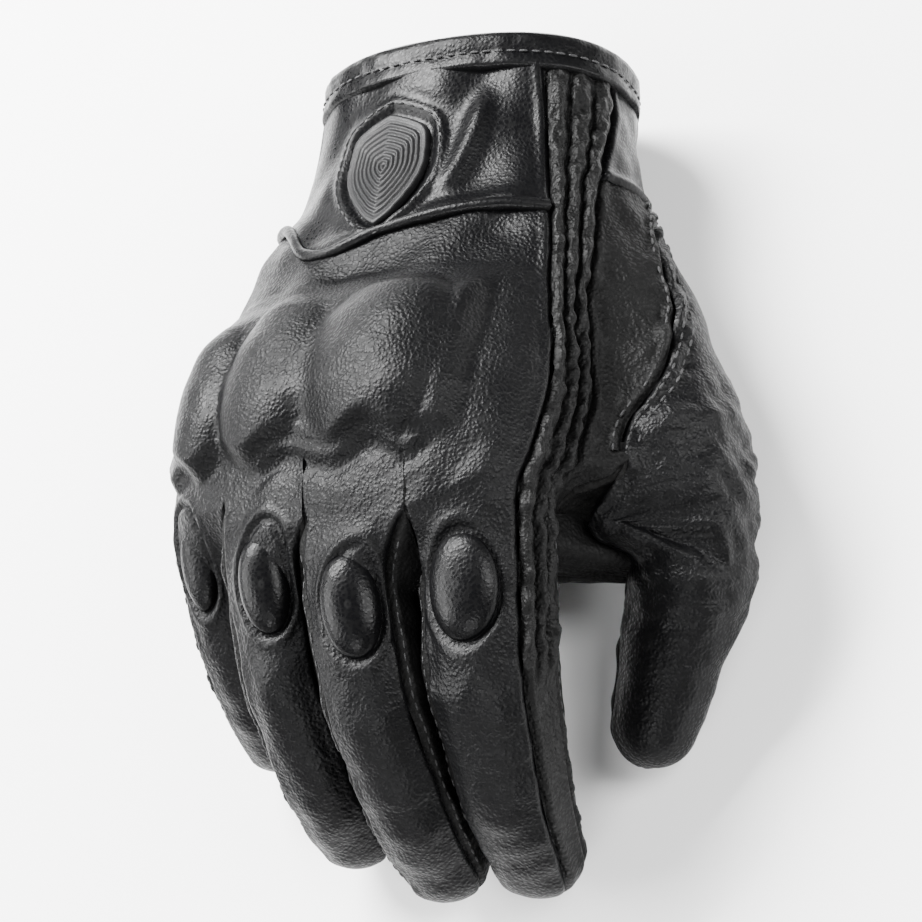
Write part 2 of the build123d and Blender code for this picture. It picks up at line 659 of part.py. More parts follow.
os.makedirs("parts", exist_ok=True)
for name, solids in nodes.items():
    moved = [Pos(*shift) * solid for solid in solids]
    shape = moved[0] if len(moved) == 1 else Compound(children=moved)
    export_step(shape, f"parts/{name}.step")
    print(name, len(moved), round(sum(s.volume for s in moved)))
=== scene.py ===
import json
import math
import bpy
import numpy as np
from mathutils import Matrix, Vector


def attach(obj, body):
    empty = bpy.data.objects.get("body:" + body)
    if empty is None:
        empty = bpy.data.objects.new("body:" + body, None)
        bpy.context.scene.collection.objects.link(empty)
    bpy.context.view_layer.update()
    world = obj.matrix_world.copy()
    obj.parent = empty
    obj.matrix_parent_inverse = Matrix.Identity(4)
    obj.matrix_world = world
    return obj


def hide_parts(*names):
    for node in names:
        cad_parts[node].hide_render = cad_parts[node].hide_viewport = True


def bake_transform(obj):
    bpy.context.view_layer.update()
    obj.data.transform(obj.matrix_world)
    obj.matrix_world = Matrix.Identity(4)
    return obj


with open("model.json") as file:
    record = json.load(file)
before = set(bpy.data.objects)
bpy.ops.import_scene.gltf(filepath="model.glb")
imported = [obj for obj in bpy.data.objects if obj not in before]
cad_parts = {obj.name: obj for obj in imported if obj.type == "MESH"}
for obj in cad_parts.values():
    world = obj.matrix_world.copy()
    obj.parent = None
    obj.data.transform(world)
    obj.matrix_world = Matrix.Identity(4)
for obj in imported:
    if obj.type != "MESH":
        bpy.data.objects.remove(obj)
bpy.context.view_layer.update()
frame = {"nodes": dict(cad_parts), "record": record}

# ---- Studio: camera, lamps and floor ------------------------------------------------------
# The glove is seen from above its thumb side with the fingers towards the viewer. Two wide
# soft boxes and a strip light the black leather in long gentle highlights.
# Sizes are millimetres in the glove's own frame: +x thumb, +y wrist, z up from the table.
MM = 0.001
WRIST_CENTRE = (7.0, 125.0, 28.5)
mounts = {mount["name"]: mount for mount in frame["record"]["mounts"]}
origin = np.array(mounts["wrist_opening"]["pos_m"]) - np.array(WRIST_CENTRE) * MM


def placed(points):
    """Millimetres in the glove's frame to metres in the model's."""
    return np.asarray(points, float) * MM + origin


VIEW_TURN, VIEW_RISE, VIEW_ROLL = 50.0, 58.0, 4.0
VIEW_AIM = (14.0, 22.0, 40.0)
VIEW_DISTANCE = 600.0
turn, rise, roll = (math.radians(v) for v in (VIEW_TURN, VIEW_RISE, VIEW_ROLL))
back_way = Vector((math.sin(turn) * math.cos(rise), -math.cos(turn) * math.cos(rise),
                   math.sin(rise)))
up_way = (Vector((0, 1, 0)) - back_way * back_way.y).normalized()
side_way = up_way.cross(back_way)
up_way, side_way = (up_way * math.cos(roll) - side_way * math.sin(roll),
                    side_way * math.cos(roll) + up_way * math.sin(roll))
camera_data = bpy.data.cameras.new("camera")
camera_data.lens = 100
camera_data.sensor_width = 36
camera_data.clip_start = 0.05
camera = bpy.data.objects.new("camera", camera_data)
bpy.context.collection.objects.link(camera)
aim = Vector(placed(VIEW_AIM))
spot = aim + back_way * VIEW_DISTANCE * MM
camera.matrix_world = Matrix((
    (side_way.x, up_way.x, back_way.x, spot.x),
    (side_way.y, up_way.y, back_way.y, spot.y),
    (side_way.z, up_way.z, back_way.z, spot.z),
    (0, 0, 0, 1),
))
bpy.context.scene.camera = camera

SOFT_BOXES = {  # where, width, height, watts
    "soft_box_wrist": ((-350, 420, 620), 520, 300, 44.0),
    "soft_box_left": ((-620, -120, 520), 480, 420, 14.0),
    "strip_right": ((560, 60, 420), 240, 560, 8.0),
    "soft_box_front": ((60, -650, 560), 420, 300, 6.0),
}
ROOM_LIGHT = 0.10
for name, (where, wide, tall, watts) in SOFT_BOXES.items():
    lamp_data = bpy.data.lights.new(name, "AREA")
    lamp_data.shape = "RECTANGLE"
    lamp_data.size = wide * MM
    lamp_data.size_y = tall * MM
    lamp_data.energy = watts
    lamp = bpy.data.objects.new(name, lamp_data)
    bpy.context.collection.objects.link(lamp)
    lamp.location = placed(where)
    lamp.rotation_euler = (aim - lamp.location).to_track_quat("-Z", "Y").to_euler()
world = bpy.data.worlds.new("studio")
bpy.context.scene.world = world
world.use_nodes = True
world.node_tree.nodes["Background"].inputs["Color"].default_value = (1, 1, 1, 1)
world.node_tree.nodes["Background"].inputs["Strength"].default_value = ROOM_LIGHT


def mesh_piece(name, points, faces, smooth=True):
    """A new object from points in metres, shaded smooth, at the origin."""
    mesh = bpy.data.meshes.new(name)
    mesh.from_pydata([tuple(p) for p in points], [], [tuple(f) for f in faces])
    mesh.update()
    if smooth:
        mesh.shade_smooth()
    piece = bpy.data.objects.new(name, mesh)
    bpy.context.collection.objects.link(piece)
    return piece


FLOOR_HALF = 6.0
FLOOR_GREY, FLOOR_ROUGHNESS = 0.95, 0.9
floor = mesh_piece("floor", [(-FLOOR_HALF, -FLOOR_HALF, 0), (FLOOR_HALF, -FLOOR_HALF, 0),
                             (FLOOR_HALF, FLOOR_HALF, 0), (-FLOOR_HALF, FLOOR_HALF, 0)],
                   [(0, 1, 2, 3)], smooth=False)
floor_finish = bpy.data.materials.new("pale_floor")
floor_finish.use_nodes = True
floor_shader = floor_finish.node_tree.nodes["Principled BSDF"]
floor_shader.inputs["Base Color"].default_value = (FLOOR_GREY, FLOOR_GREY, FLOOR_GREY, 1)
floor_shader.inputs["Roughness"].default_value = FLOOR_ROUGHNESS
floor.data.materials.append(floor_finish)


# ---- Leather finishes ---------------------------------------------------------------------
# Black drummed goatskin: a fine pebble grain, faint creases, a low sheen that rises where the
# skin is stretched. The palm is a softer, duller cut of the same hide.
def node(tree, kind, slots=(), **values):
    """A node with its inputs or settings given by name; slots takes names with spaces."""
    made = tree.nodes.new(kind)
    for key, value in values.items():
        if key in made.inputs:
            made.inputs[key].default_value = value
        else:
            setattr(made, key, value)
    for key, value in dict(slots).items():
        made.inputs[key].default_value = value
    return made


def math_node(tree, operation, slots=()):
    return node(tree, "ShaderNodeMath", slots, operation=operation)


def map_range(tree, low, high, start=0.0, end=1.0, **values):
    return node(tree, "ShaderNodeMapRange", {"From Min": low, "From Max": high, "To Min": start,
                                             "To Max": end}, **values)


def connect(tree, *links):
    """Each link is a node and its output, then a node and its input."""
    for giver, output, taker, place in links:
        tree.links.new(giver.outputs[output], taker.inputs[place])


def new_group(name, inputs, outputs):
    group = bpy.data.node_groups.new(name, "ShaderNodeTree")
    for socket, kind, value in inputs:
        made = group.interface.new_socket(name=socket, in_out="INPUT", socket_type=kind)
        if value is not None:
            made.default_value = value
    for socket, kind in outputs:
        group.interface.new_socket(name=socket, in_out="OUTPUT", socket_type=kind)
    return group, node(group, "NodeGroupInput"), node(group, "NodeGroupOutput")


# Pebble grain: rounded cells of two sizes with soft valleys, as a height and a valley mask; the
# leather uses the valley mask to darken the colour in the valleys as painted shade and to dull
# their roughness.
grain_group, g_in, g_out = new_group(
    "pebble_grain",
    [("Vector", "NodeSocketVector", None), ("Cells per metre", "NodeSocketFloat", 1300.0),
     ("Stretch", "NodeSocketFloat", 0.35)],
    [("Height", "NodeSocketFloat"), ("Valley", "NodeSocketFloat"), ("Patch", "NodeSocketFloat")],
)
warp = node(grain_group, "ShaderNodeTexNoise", Scale=420.0, Detail=2.0)
warp_amount = node(grain_group, "ShaderNodeVectorMath", {1: (0.0009, 0.0009, 0.0009)},
                   operation="MULTIPLY_ADD")
cells = node(grain_group, "ShaderNodeTexVoronoi", feature="SMOOTH_F1", Smoothness=0.55)
fine = node(grain_group, "ShaderNodeTexVoronoi", feature="F1")
double = math_node(grain_group, "MULTIPLY", {1: 2.3})
patches = node(grain_group, "ShaderNodeTexNoise", Scale=55.0, Detail=3.0, Roughness=0.55)
dome = map_range(grain_group, 0.15, 0.75, 1.0, 0.0, interpolation_type="SMOOTHSTEP")
fine_part = math_node(grain_group, "MULTIPLY", {1: -0.35})
both = math_node(grain_group, "ADD")
flatten = map_range(grain_group, 0.35, 0.7)
ease = math_node(grain_group, "MULTIPLY")
keep_grain = math_node(grain_group, "SUBTRACT", {0: 1.0})
grain_height = math_node(grain_group, "MULTIPLY")
valley = math_node(grain_group, "SUBTRACT", {0: 1.0})
connect(
    grain_group,
    (g_in, "Vector", warp, "Vector"), (warp, "Color", warp_amount, 0),
    (g_in, "Vector", warp_amount, 2),
    (warp_amount, 0, cells, "Vector"), (g_in, "Cells per metre", cells, "Scale"),
    (warp_amount, 0, fine, "Vector"), (g_in, "Cells per metre", double, 0),
    (double, 0, fine, "Scale"), (g_in, "Vector", patches, "Vector"),
    (cells, "Distance", dome, "Value"), (fine, "Distance", fine_part, 0),
    (dome, "Result", both, 0), (fine_part, 0, both, 1),
    (patches, "Fac", flatten, "Value"), (flatten, "Result", ease, 0),
    (g_in, "Stretch", ease, 1), (ease, 0, keep_grain, 1),
    (both, 0, grain_height, 0), (keep_grain, 0, grain_height, 1),
    (dome, "Result", valley, 1), (grain_height, 0, g_out, "Height"),
    (valley, 0, g_out, "Valley"), (patches, "Fac", g_out, "Patch"),
)

# Wear: edges and high folds rub to a slightly paler skin.
wear_group, w_in, w_out = new_group(
    "edge_wear", [("Vector", "NodeSocketVector", None), ("Amount", "NodeSocketFloat", 0.5)],
    [("Mask", "NodeSocketFloat")],
)
geometry = node(wear_group, "ShaderNodeNewGeometry")
sharp = map_range(wear_group, 0.51, 0.60)
scuff = node(wear_group, "ShaderNodeTexNoise", Scale=160.0, Detail=4.0)
mask = math_node(wear_group, "MULTIPLY")
scaled = math_node(wear_group, "MULTIPLY")
connect(
    wear_group,
    (geometry, "Pointiness", sharp, "Value"), (w_in, "Vector", scuff, "Vector"),
    (sharp, "Result", mask, 0), (scuff, "Fac", mask, 1), (mask, 0, scaled, 0),
    (w_in, "Amount", scaled, 1), (scaled, 0, w_out, "Mask"),
)


def leather(name, colour, rub, rough, grain, cell_count, crease, gloss=0.11, stretch=0.35):
    """One cut of hide: its colour, its rubbed colour, painted shade in the grain's valleys,
    roughness, grain depth and creases.
    """
    finish = bpy.data.materials.new(name)
    finish.use_nodes = True
    tree = finish.node_tree
    shader = tree.nodes["Principled BSDF"]
    shader.inputs["Specular IOR Level"].default_value = gloss
    where = node(tree, "ShaderNodeTexCoord")
    pebbles = node(tree, "ShaderNodeGroup")
    pebbles.node_tree = grain_group
    pebbles.inputs["Cells per metre"].default_value = cell_count
    pebbles.inputs["Stretch"].default_value = stretch
    wear = node(tree, "ShaderNodeGroup")
    wear.node_tree = wear_group
    wear.inputs["Amount"].default_value = 0.6
    folds = node(tree, "ShaderNodeTexNoise", Scale=95.0, Detail=5.0, Roughness=0.62,
                 Distortion=1.4)
    # Painted shade: the grain's valleys take a colour 0.55 times as dark, standing in for the shade
    # that falls there.
    valley_painted_shade = node(tree, "ShaderNodeMix", data_type="RGBA", slots={
        6: (*colour, 1), 7: (*[c * 0.55 for c in colour], 1)})
    rubbed_edges = node(tree, "ShaderNodeMix", data_type="RGBA", slots={7: (*rub, 1)})
    sheen = map_range(tree, 0.3, 0.75, rough + 0.07, rough - 0.06)
    dull_valleys = math_node(tree, "MULTIPLY_ADD", {1: 0.14})
    grain_bump = node(tree, "ShaderNodeBump", Strength=grain, Distance=0.00022)
    fold_bump = node(tree, "ShaderNodeBump", Strength=crease, Distance=0.0012)
    connect(
        tree,
        *[(where, "Object", taker, "Vector") for taker in (pebbles, wear, folds)],
        (pebbles, "Valley", valley_painted_shade, 0), (wear, "Mask", rubbed_edges, 0),
        (valley_painted_shade, 2, rubbed_edges, 6), (rubbed_edges, 2, shader, "Base Color"),
        (pebbles, "Patch", sheen, "Value"), (pebbles, "Valley", dull_valleys, 0),
        (sheen, "Result", dull_valleys, 2), (dull_valleys, 0, shader, "Roughness"),
        (folds, "Fac", fold_bump, "Height"), (pebbles, "Height", grain_bump, "Height"),
        (fold_bump, "Normal", grain_bump, "Normal"), (grain_bump, "Normal", shader, "Normal"),
    )
    return finish


HIDE_BLACK, HIDE_RUBBED = (0.0018, 0.0018, 0.0021), (0.012, 0.012, 0.012)
back_hide = leather("back_goatskin", HIDE_BLACK, HIDE_RUBBED, 0.35, 0.55, 1150.0, 0.16)
smooth_hide = leather("moulded_goatskin", HIDE_BLACK, HIDE_RUBBED, 0.27, 0.32, 1150.0, 0.05,
                      stretch=0.75)
rib_hide = leather("rib_goatskin", (0.0022, 0.0022, 0.0022), (0.016, 0.016, 0.016), 0.42, 0.8,
                   1000.0, 0.45)
gusset_hide = leather("gusset_goatskin", (0.002, 0.002, 0.002), HIDE_RUBBED, 0.50, 0.9, 1000.0,
                      0.2)
palm_hide = leather("palm_goatskin", (0.003, 0.0029, 0.0028), (0.018, 0.0175, 0.017), 0.56, 0.7,
                    900.0, 0.3)
fourchette_hide = leather("fourchette_goatskin", (0.003, 0.003, 0.003), (0.014, 0.014, 0.014),
                          0.55, 0.7, 1000.0, 0.15)


# ---- Back of the hand, over the knuckle guard ----------------------------------------------
# One piece of goatskin from the cuff's welt to the fingertips, pulled wet over a hard guard
# that makes a hump on each knuckle and a scalloped fold below them.
HAND_ROWS = (  # y, centre x, centre z, half width, half height, roll to the little finger
    (-20, -6.5, 54, 50, 13.5, 10), (22, -6, 51.5, 51, 20, 10), (46, -4, 45, 49.5, 23, 8),
    (74, 0.5, 36, 45.5, 24.5, 4), (100, 6.5, 29.5, 40, 26, 0), (126, 7, 28.5, 39.5, 27, 0),
)
HAND_POWER = 2.3  # 2 is an ellipse, more is boxier
HAND_END_Y = -20.0
THUMB_PATH = ((26, 110, 29), (54, 52, 27), (62, 26, 25), (67, 0, 22), (54.5, -36, 12))
THUMB_WIDTHS = (14, 15.2, 17, 15, 10)
WEB_BLEND = 15.0  # how softly the ball of the thumb runs into the hand


def fair(x, table, column):
    """Smooth interpolation of one column of a table of rows sorted by their first number."""
    xs = np.array([row[0] for row in table], float)
    vs = np.array([row[column] for row in table], float)
    slopes = np.gradient(vs, xs)
    x = np.clip(x, xs[0], xs[-1])
    i = np.clip(np.searchsorted(xs, x) - 1, 0, len(xs) - 2)
    h = xs[i + 1] - xs[i]
    t = (x - xs[i]) / h
    return ((2 * t**3 - 3 * t**2 + 1) * vs[i] + (t**3 - 2 * t**2 + t) * h * slopes[i]
            + (3 * t**2 - 2 * t**3) * vs[i + 1] + (t**3 - t**2) * h * slopes[i + 1])


def ease_in(t):
    t = np.clip(t, 0, 1)
    return t * t * (3 - 2 * t)


def unit(v):
    return v / np.maximum(np.linalg.norm(v, axis=-1, keepdims=True), 1e-9)


def oval(angle, power):
    c, s = np.cos(np.radians(angle)), np.sin(np.radians(angle))
    return (np.sign(c) * np.abs(c) ** (2 / power), np.sign(s) * np.abs(s) ** (2 / power))


def hand_only(y, angle):
    """The hand's tube without the thumb. Angle 0 is the thumb side, 90 the back."""
    y, angle = np.broadcast_arrays(np.asarray(y, float), np.asarray(angle, float))
    cx, cz, wide, tall, lean = (fair(y, HAND_ROWS, i) for i in range(1, 6))
    x, z = oval(angle, HAND_POWER)
    lean = np.radians(lean)
    return np.stack([cx + x * wide * np.cos(lean) - z * tall * np.sin(lean), y,
                     cz + x * wide * np.sin(lean) + z * tall * np.cos(lean)], -1)


def rod_distance(points, path, widths):
    """Distance to a row of tapering rods."""
    best = np.full(points.shape[:-1], 1e9)
    for (a, b, ra, rb) in zip(path, path[1:], widths, widths[1:]):
        a, b = np.array(a, float), np.array(b, float)
        t = np.clip(((points - a) @ (b - a)) / ((b - a) @ (b - a)), 0, 1)
        gap = np.linalg.norm(points - a - t[..., None] * (b - a), axis=-1)
        best = np.minimum(best, gap - ra - t * (rb - ra))
    return best


WEB_SHEET = ((34, 80, 38), (40, 14, 50), (64, 16, 29))  # the fold of skin beside the thumb
WEB_HALF = 8.5


def web_distance(points):
    """Distance to the padded triangle between the first knuckle and the thumb."""
    corner = [np.array(p, float) for p in WEB_SHEET]
    normal = unit(np.cross(corner[1] - corner[0], corner[2] - corner[0]))
    above = (points - corner[0]) @ normal
    inside = np.full(above.shape, True)
    rim = np.full(above.shape, 1e9)
    for a, b in zip(corner, corner[1:] + corner[:1]):
        edge = b - a
        t = np.clip(((points - a) @ edge) / (edge @ edge), 0, 1)
        rim = np.minimum(rim, np.linalg.norm(points - a - t[..., None] * edge, axis=-1))
        inside &= (np.cross(edge, points - a) @ normal) > 0
    return np.where(inside, np.abs(above), rim) - WEB_HALF


def soft_union(a, b, spread):
    near = np.maximum(spread - np.abs(a - b), 0) / spread
    return np.minimum(a, b) - near**3 * spread / 6


def hand_skin(y, angle):
    """The hand and the ball of the thumb as one form, met by rays out of the hand's middle."""
    bare = hand_only(y, angle)
    y = bare[..., 1]
    centre = np.stack([fair(y, HAND_ROWS, 1), y, fair(y, HAND_ROWS, 2)], -1)
    reach = np.linalg.norm(bare - centre, axis=-1)
    way = (bare - centre) / reach[..., None]
    out = np.full(reach.shape, 120.0)
    for _ in range(70):
        point = centre + way * out[..., None]
        to_hand = out - reach
        to_thumb = rod_distance(point, THUMB_PATH, THUMB_WIDTHS)
        fold = soft_union(to_thumb, web_distance(point), WEB_BLEND)
        out = out - soft_union(to_hand, fold, WEB_BLEND) * 0.55
    return centre + way * out[..., None]


FINGERS = {  # knuckle, lengths and slopes between bends, half widths, depth ratio, yaw, hinges
    "index": dict(knuckle=(29.1, 12, 58), lengths=(46, 29, 17), slopes=(12, 36, 54),
                  widths=(15.2, 14.4, 12.2, 10.3), deep=0.95, yaw=0.5, bends=(15, 48)),
    "middle": dict(knuckle=(-4.8, 9, 61), lengths=(47.5, 29, 15.5), slopes=(13, 40, 58),
                   widths=(11.9, 11.7, 11.3, 10.0), deep=1.08, yaw=9, bends=(16, 50)),
    "ring": dict(knuckle=(-28.7, 13, 56.5), lengths=(45, 27, 15), slopes=(15, 41, 59),
                 widths=(11.0, 10.9, 10.5, 9.6), deep=1.12, yaw=8, bends=(15, 48)),
    "little": dict(knuckle=(-49.8, 22, 47), lengths=(37, 20, 12), slopes=(18, 42, 58),
                   widths=(9.4, 9.4, 9.2, 8.8), deep=1.16, yaw=7.5, bends=(13, 40)),
}
FINGER_POWER = 2.2
BEND_SPREAD = 8.0  # half the length over which a finger turns to its next slope
PATH_STEP = 0.25
TIP_SHARE = 0.9999  # how near to a point the round tip closes


def finger_path(finger, s):
    """Centre, direction along, direction up and half width at distances s from the knuckle."""
    f = FINGERS[finger]
    grid = np.arange(-80, sum(f["lengths"]) + 30, PATH_STEP)
    first, second, third = f["slopes"]
    one = f["lengths"][0]
    two = one + f["lengths"][1]
    slope = np.radians(first + (second - first) * ease_in((grid - one) / 2 / BEND_SPREAD + 0.5)
                       + (third - second) * ease_in((grid - two) / 2 / BEND_SPREAD + 0.5))
    yaw = math.radians(f["yaw"])
    ways = np.stack([np.sin(yaw) * np.cos(slope), -np.cos(yaw) * np.cos(slope),
                     -np.sin(slope)], -1)
    path = np.cumsum(ways * PATH_STEP, axis=0)
    start = int(np.argmin(np.abs(grid)))
    path = path - path[start] + np.array(f["knuckle"], float)
    centre = np.stack([np.interp(s, grid, path[:, i]) for i in range(3)], -1)
    way = unit(np.stack([np.interp(s, grid, ways[:, i]) for i in range(3)], -1))
    across = np.array([math.cos(yaw), math.sin(yaw), 0])
    up = np.cross(way, across)
    marks = np.cumsum((0,) + f["lengths"])
    width = np.interp(s, marks, f["widths"])
    over = np.clip((s - marks[-1]) / f["widths"][-1], 0, TIP_SHARE)
    width = np.where(s > marks[-1], f["widths"][-1] * np.sqrt(1 - over**2), width)
    return centre, way, up, across, width


def finger_skin(finger, s, angle):
    """A point on the finger's tube: angle 0 faces the thumb, 90 the back of the finger."""
    s, angle = np.broadcast_arrays(np.asarray(s, float), np.asarray(angle, float))
    centre, way, up, across, width = finger_path(finger, s)
    x, z = oval(angle, FINGER_POWER)
    return (centre + across * (x * width)[..., None]
            + up * (z * width * FINGERS[finger]["deep"])[..., None])


RIB_BACK_SEAM = ((-25, 22), (-15, 20), (0, 14), (8, 10), (15, 7), (22, 5), (30, 5), (40, 9),
                 (50, 17), (60, 24), (70, 30), (80, 36.5), (90, 42.5), (97, 46), (110, 50),
                 (126, 52))
RIB_SIDE_SEAM = ((-25, -30), (-15, -29), (0, -28), (8, -26), (15, -21), (22, -21), (30, -20),
                 (40, -11), (50, -2.5), (60, 4.5), (70, 10), (80, 16), (90, 19), (97, 19),
                 (110, 15), (126, 14))
THUMB_SEAM = ((14, -36), (22, -32.5), (30, -29.5), (40, -25), (50, -21), (60, -17), (70, -11),
              (80, -9), (90, -12))
WELT_LINE = ((38, 78.5), (55, 78.5), (70, 77.5), (90, 74), (103, 70), (113, 71.5), (125, 78),
             (135, 82), (160, 85), (188, 88))
OUTER_SEAM = 165.0  # where the back meets the palm on the little finger side
SPLIT_Y = 18.0  # the hand's panels end here and the fingers' begin


def waves(points, size, key, spread=0.45):
    """Smooth irregular height, about -1 to 1, with bumps of that size in millimetres."""
    rng = np.random.default_rng(key)
    total = np.zeros(points.shape[:-1])
    for _ in range(14):
        way = unit(rng.normal(size=3))
        length = size * rng.uniform(1 - spread, 1 + spread)
        total += np.sin(points @ way * 2 * np.pi / length + rng.uniform(0, 6.28))
    return total / 3.7


def bell(x):
    return np.exp(-x * x)


def seam_roll(distance):
    """The rolled edge beside a seam and the dip of the seam itself."""
    return 0.5 * bell((distance - 1.7) / 1.1) - 0.95 * bell(distance / 0.6)


def seam_columns(width, step):
    """Shares of a strip's width, closer together at its two edges."""
    edge = [0, 0.3, 0.65, 1.05, 1.55, 2.1, 2.9]
    if width < 9:
        edge = [0, 0.35, 0.8, 1.4]
    middle = list(np.linspace(edge[-1], width - edge[-1],
                              max(3, int((width - 2 * edge[-1]) / step) + 1)))
    return np.array(edge[:-1] + middle + [width - e for e in reversed(edge[:-1])]) / width


def edge_distances(points):
    """Distance along each row to its first and last column."""
    steps = np.linalg.norm(np.diff(points, axis=1), axis=-1)
    run = np.concatenate([np.zeros((len(points), 1)), np.cumsum(steps, axis=1)], axis=1)
    return run, run[:, -1:] - run


def grid_normals(points, centres):
    """Normals of a grid, turned away from the row centres."""
    along = np.gradient(points, axis=0, edge_order=2)
    across = np.gradient(points, axis=1, edge_order=2)
    normal = unit(np.cross(along, across))
    away = np.sum(normal * (points - centres[:, None]), axis=-1)
    return normal if np.median(away) > 0 else -normal


def skin_piece(name, points, normals, hide, rows=slice(None)):
    """One panel from a grid of points in millimetres; rows picks its share of a longer strip."""
    points, normals = points[rows], normals[rows]
    count, wide = points.shape[:2]
    index = np.arange(count * wide).reshape(count, wide)
    faces = np.stack([index[:-1, :-1], index[:-1, 1:], index[1:, 1:], index[1:, :-1]],
                     -1).reshape(-1, 4)
    flat = placed(points.reshape(-1, 3))
    a, b, c = (flat[faces[:, i]] for i in range(3))
    facing = np.sum(np.cross(b - a, c - a) * normals.reshape(-1, 3)[faces[:, 0]], axis=-1)
    if facing.sum() < 0:
        faces = faces[:, ::-1]
    piece = mesh_piece(name, flat, faces)
    piece.data.normals_split_custom_set_from_vertices(normals.reshape(-1, 3).tolist())
    piece.data.materials.append(hide)
    return piece


def hand_centres(y):
    return np.stack([fair(y, HAND_ROWS, 1), y, fair(y, HAND_ROWS, 2)], -1)


def hand_strip(ys, first_a, last_a, columns):
    """A grid on the hand, from one seam's angles to another's."""
    first_a, last_a = np.reshape(first_a, (-1, 1)), np.reshape(last_a, (-1, 1))
    return hand_skin(ys[:, None], first_a + (last_a - first_a) * columns)


def raised(points, centres, height, edges=(1.0, 1.0)):
    """The grid with a height along its normals and its seams rolled, and its new normals."""
    normal = grid_normals(points, centres)
    first, last = edge_distances(points)
    calm = np.clip(first[:, -1:] / 8, 0, 1)  # a narrow end of a strip has no rolled seams
    near, far = (np.reshape(np.asarray(gain, float), (-1, 1)) for gain in edges)
    height = height + (seam_roll(first) * near + seam_roll(last) * far) * calm
    moved = points + normal * height[..., None]
    return moved, grid_normals(moved, centres)


def sewn_on(body, piece, slot, *stands_for):
    """The piece moves with one body and takes the place of those CAD nodes."""
    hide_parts(*stands_for)
    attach(piece, body)


# y and angle of each knuckle's hump, its half sizes, and how far it stands up
HUMPS = ((33, 131, 20, 14.5, 4.8), (35, 104, 21, 14.5, 4.8), (36, 73, 22, 19, 5.6),
         (36, 51, 18, 10, 1.6))
GUARD_TOP, GUARD_LOW = 58.0, 15.0
PLATEAU = 2.8


def guard_height(y, a):
    """How far the hard guard lifts the leather over the knuckles."""
    low = GUARD_LOW - 1.8 * np.cos((a - 84) / 11 * np.pi) * ease_in((a - 50) / 8)
    lift = (ease_in((GUARD_TOP + 5 - y) / 11) * ease_in((y - low + 1.0) / 6)
            * ease_in((a - 42) / 12) * ease_in((172 - a) / 12))
    crowns = 0
    for (at_y, at_a, long, wide, rise) in HUMPS:
        reach = ((y - at_y) / long) ** 2 + ((a - at_a) / wide) ** 2
        crowns = crowns + (rise * np.clip(1.15 - reach, 0, 2) ** 0.8) ** 2.2
    height = (PLATEAU + crowns ** (1 / 2.2)) * lift
    near = ease_in((a - 52) / 8) * ease_in((108 - a) / 8)
    height = height + near * (1.0 * bell((y - low - 0.2) / 1.4)
                              - 0.8 * bell((y - low + 3.4) / 2.0))
    return height + 0.3 * bell((y - GUARD_TOP - 2) / 1.6) * ease_in((a - 58) / 8) \
        * ease_in((145 - a) / 10)


BACK_WIDTH = math.radians(120) * 50  # about 120 degrees at 50 mm from the hand's middle
back_y = np.linspace(79.5, SPLIT_Y, 74)
back_share = seam_columns(BACK_WIDTH, 1.0)
seam_a = fair(back_y, RIB_BACK_SEAM, 1)
a_grid = seam_a[:, None] + (OUTER_SEAM - seam_a)[:, None] * back_share
share = (back_y - SPLIT_Y) / (back_y[0] - SPLIT_Y)
top_y = fair(a_grid, WELT_LINE, 1) + 1.0
y_grid = SPLIT_Y + (top_y - SPLIT_Y) * share[:, None]
a_grid = fair(y_grid, RIB_BACK_SEAM, 1) * (1 - back_share) + OUTER_SEAM * back_share
base = hand_skin(y_grid, a_grid)
height = guard_height(y_grid, a_grid)
height += 0.3 * waves(base, 17, 3) * ease_in((y_grid - 19) / 10)
below_welt = bell((y_grid - top_y + 8) / 7) * (y_grid < top_y)
height += 0.9 * waves(base * np.array([1, 0.6, 1]), 21, 5) * below_welt
back_centres = hand_centres(back_y)
points, normals = raised(base, back_centres, height)
back_skin = skin_piece("back_of_hand", points, normals, back_hide)
sewn_on("hand", back_skin, "grain_leather", "back_panel", "knuckle_guard", "guard_foam")


# ---- Stretch ribs, from the cuff to the first finger -----------------------------------------
# Three gathered folds of goatskin over elastic, which let the glove open when the hand goes
# in. The gathering crinkles each fold across its length.
def rib_height(points, share, y):
    """Three rounded folds across the strip, crinkled along it."""
    drift = 0.022 * waves(points, 9, 11) + 0.012 * waves(points, 4.5, 12)
    fold = np.abs(np.sin(3 * np.pi * np.clip(share + drift, 0, 1)))
    crinkle = 1 + 0.15 * waves(points, 5.0, 13) + 0.10 * waves(points, 2.8, 14)
    free = ease_in((121 - y) / 8)
    return free * (2.7 * fold**0.62 * crinkle - 0.9)


rib_y = np.linspace(119, SPLIT_Y, 175)
rib_share = np.linspace(0, 1, 46)
base = hand_strip(rib_y, fair(rib_y, RIB_SIDE_SEAM, 1), fair(rib_y, RIB_BACK_SEAM, 1), rib_share)
points, normals = raised(base, hand_centres(rib_y), rib_height(base, rib_share, rib_y[:, None]),
                         edges=(0.0, 0.0))
ribs = skin_piece("stretch_ribs_hand", points, normals, rib_hide)
sewn_on("hand", ribs, "grain_leather", "stretch_ribs", "rib_backing")


# ---- Side gusset, between the ribs and the thumb ---------------------------------------------
# A narrow panel of softer pebbled hide, sewn to the ribs on one side and puckered on to the
# thumb on the other, and to the cuff at its top.
def pucker(points, distance, key):
    """Small gathers that a tight seam pulls into the leather beside it."""
    return 0.55 * waves(points, 5.5, key) * bell((distance - 2.5) / 3.0)


side_y = np.linspace(90, SPLIT_Y, 92)
base = hand_strip(side_y, fair(side_y, THUMB_SEAM, 1), fair(side_y, RIB_SIDE_SEAM, 1),
                  seam_columns(26, 1.0))
height = 0.35 * waves(base, 11, 21) + pucker(base, edge_distances(base)[0], 22)
height += 0.4 * seam_roll(side_y[0] - side_y)[:, None]
height *= ease_in((side_y - SPLIT_Y) / 5)[:, None]
points, normals = raised(base, hand_centres(side_y), height)
gusset = skin_piece("side_gusset_skin", points, normals, gusset_hide)
sewn_on("hand", gusset, "grain_leather", "side_gusset")


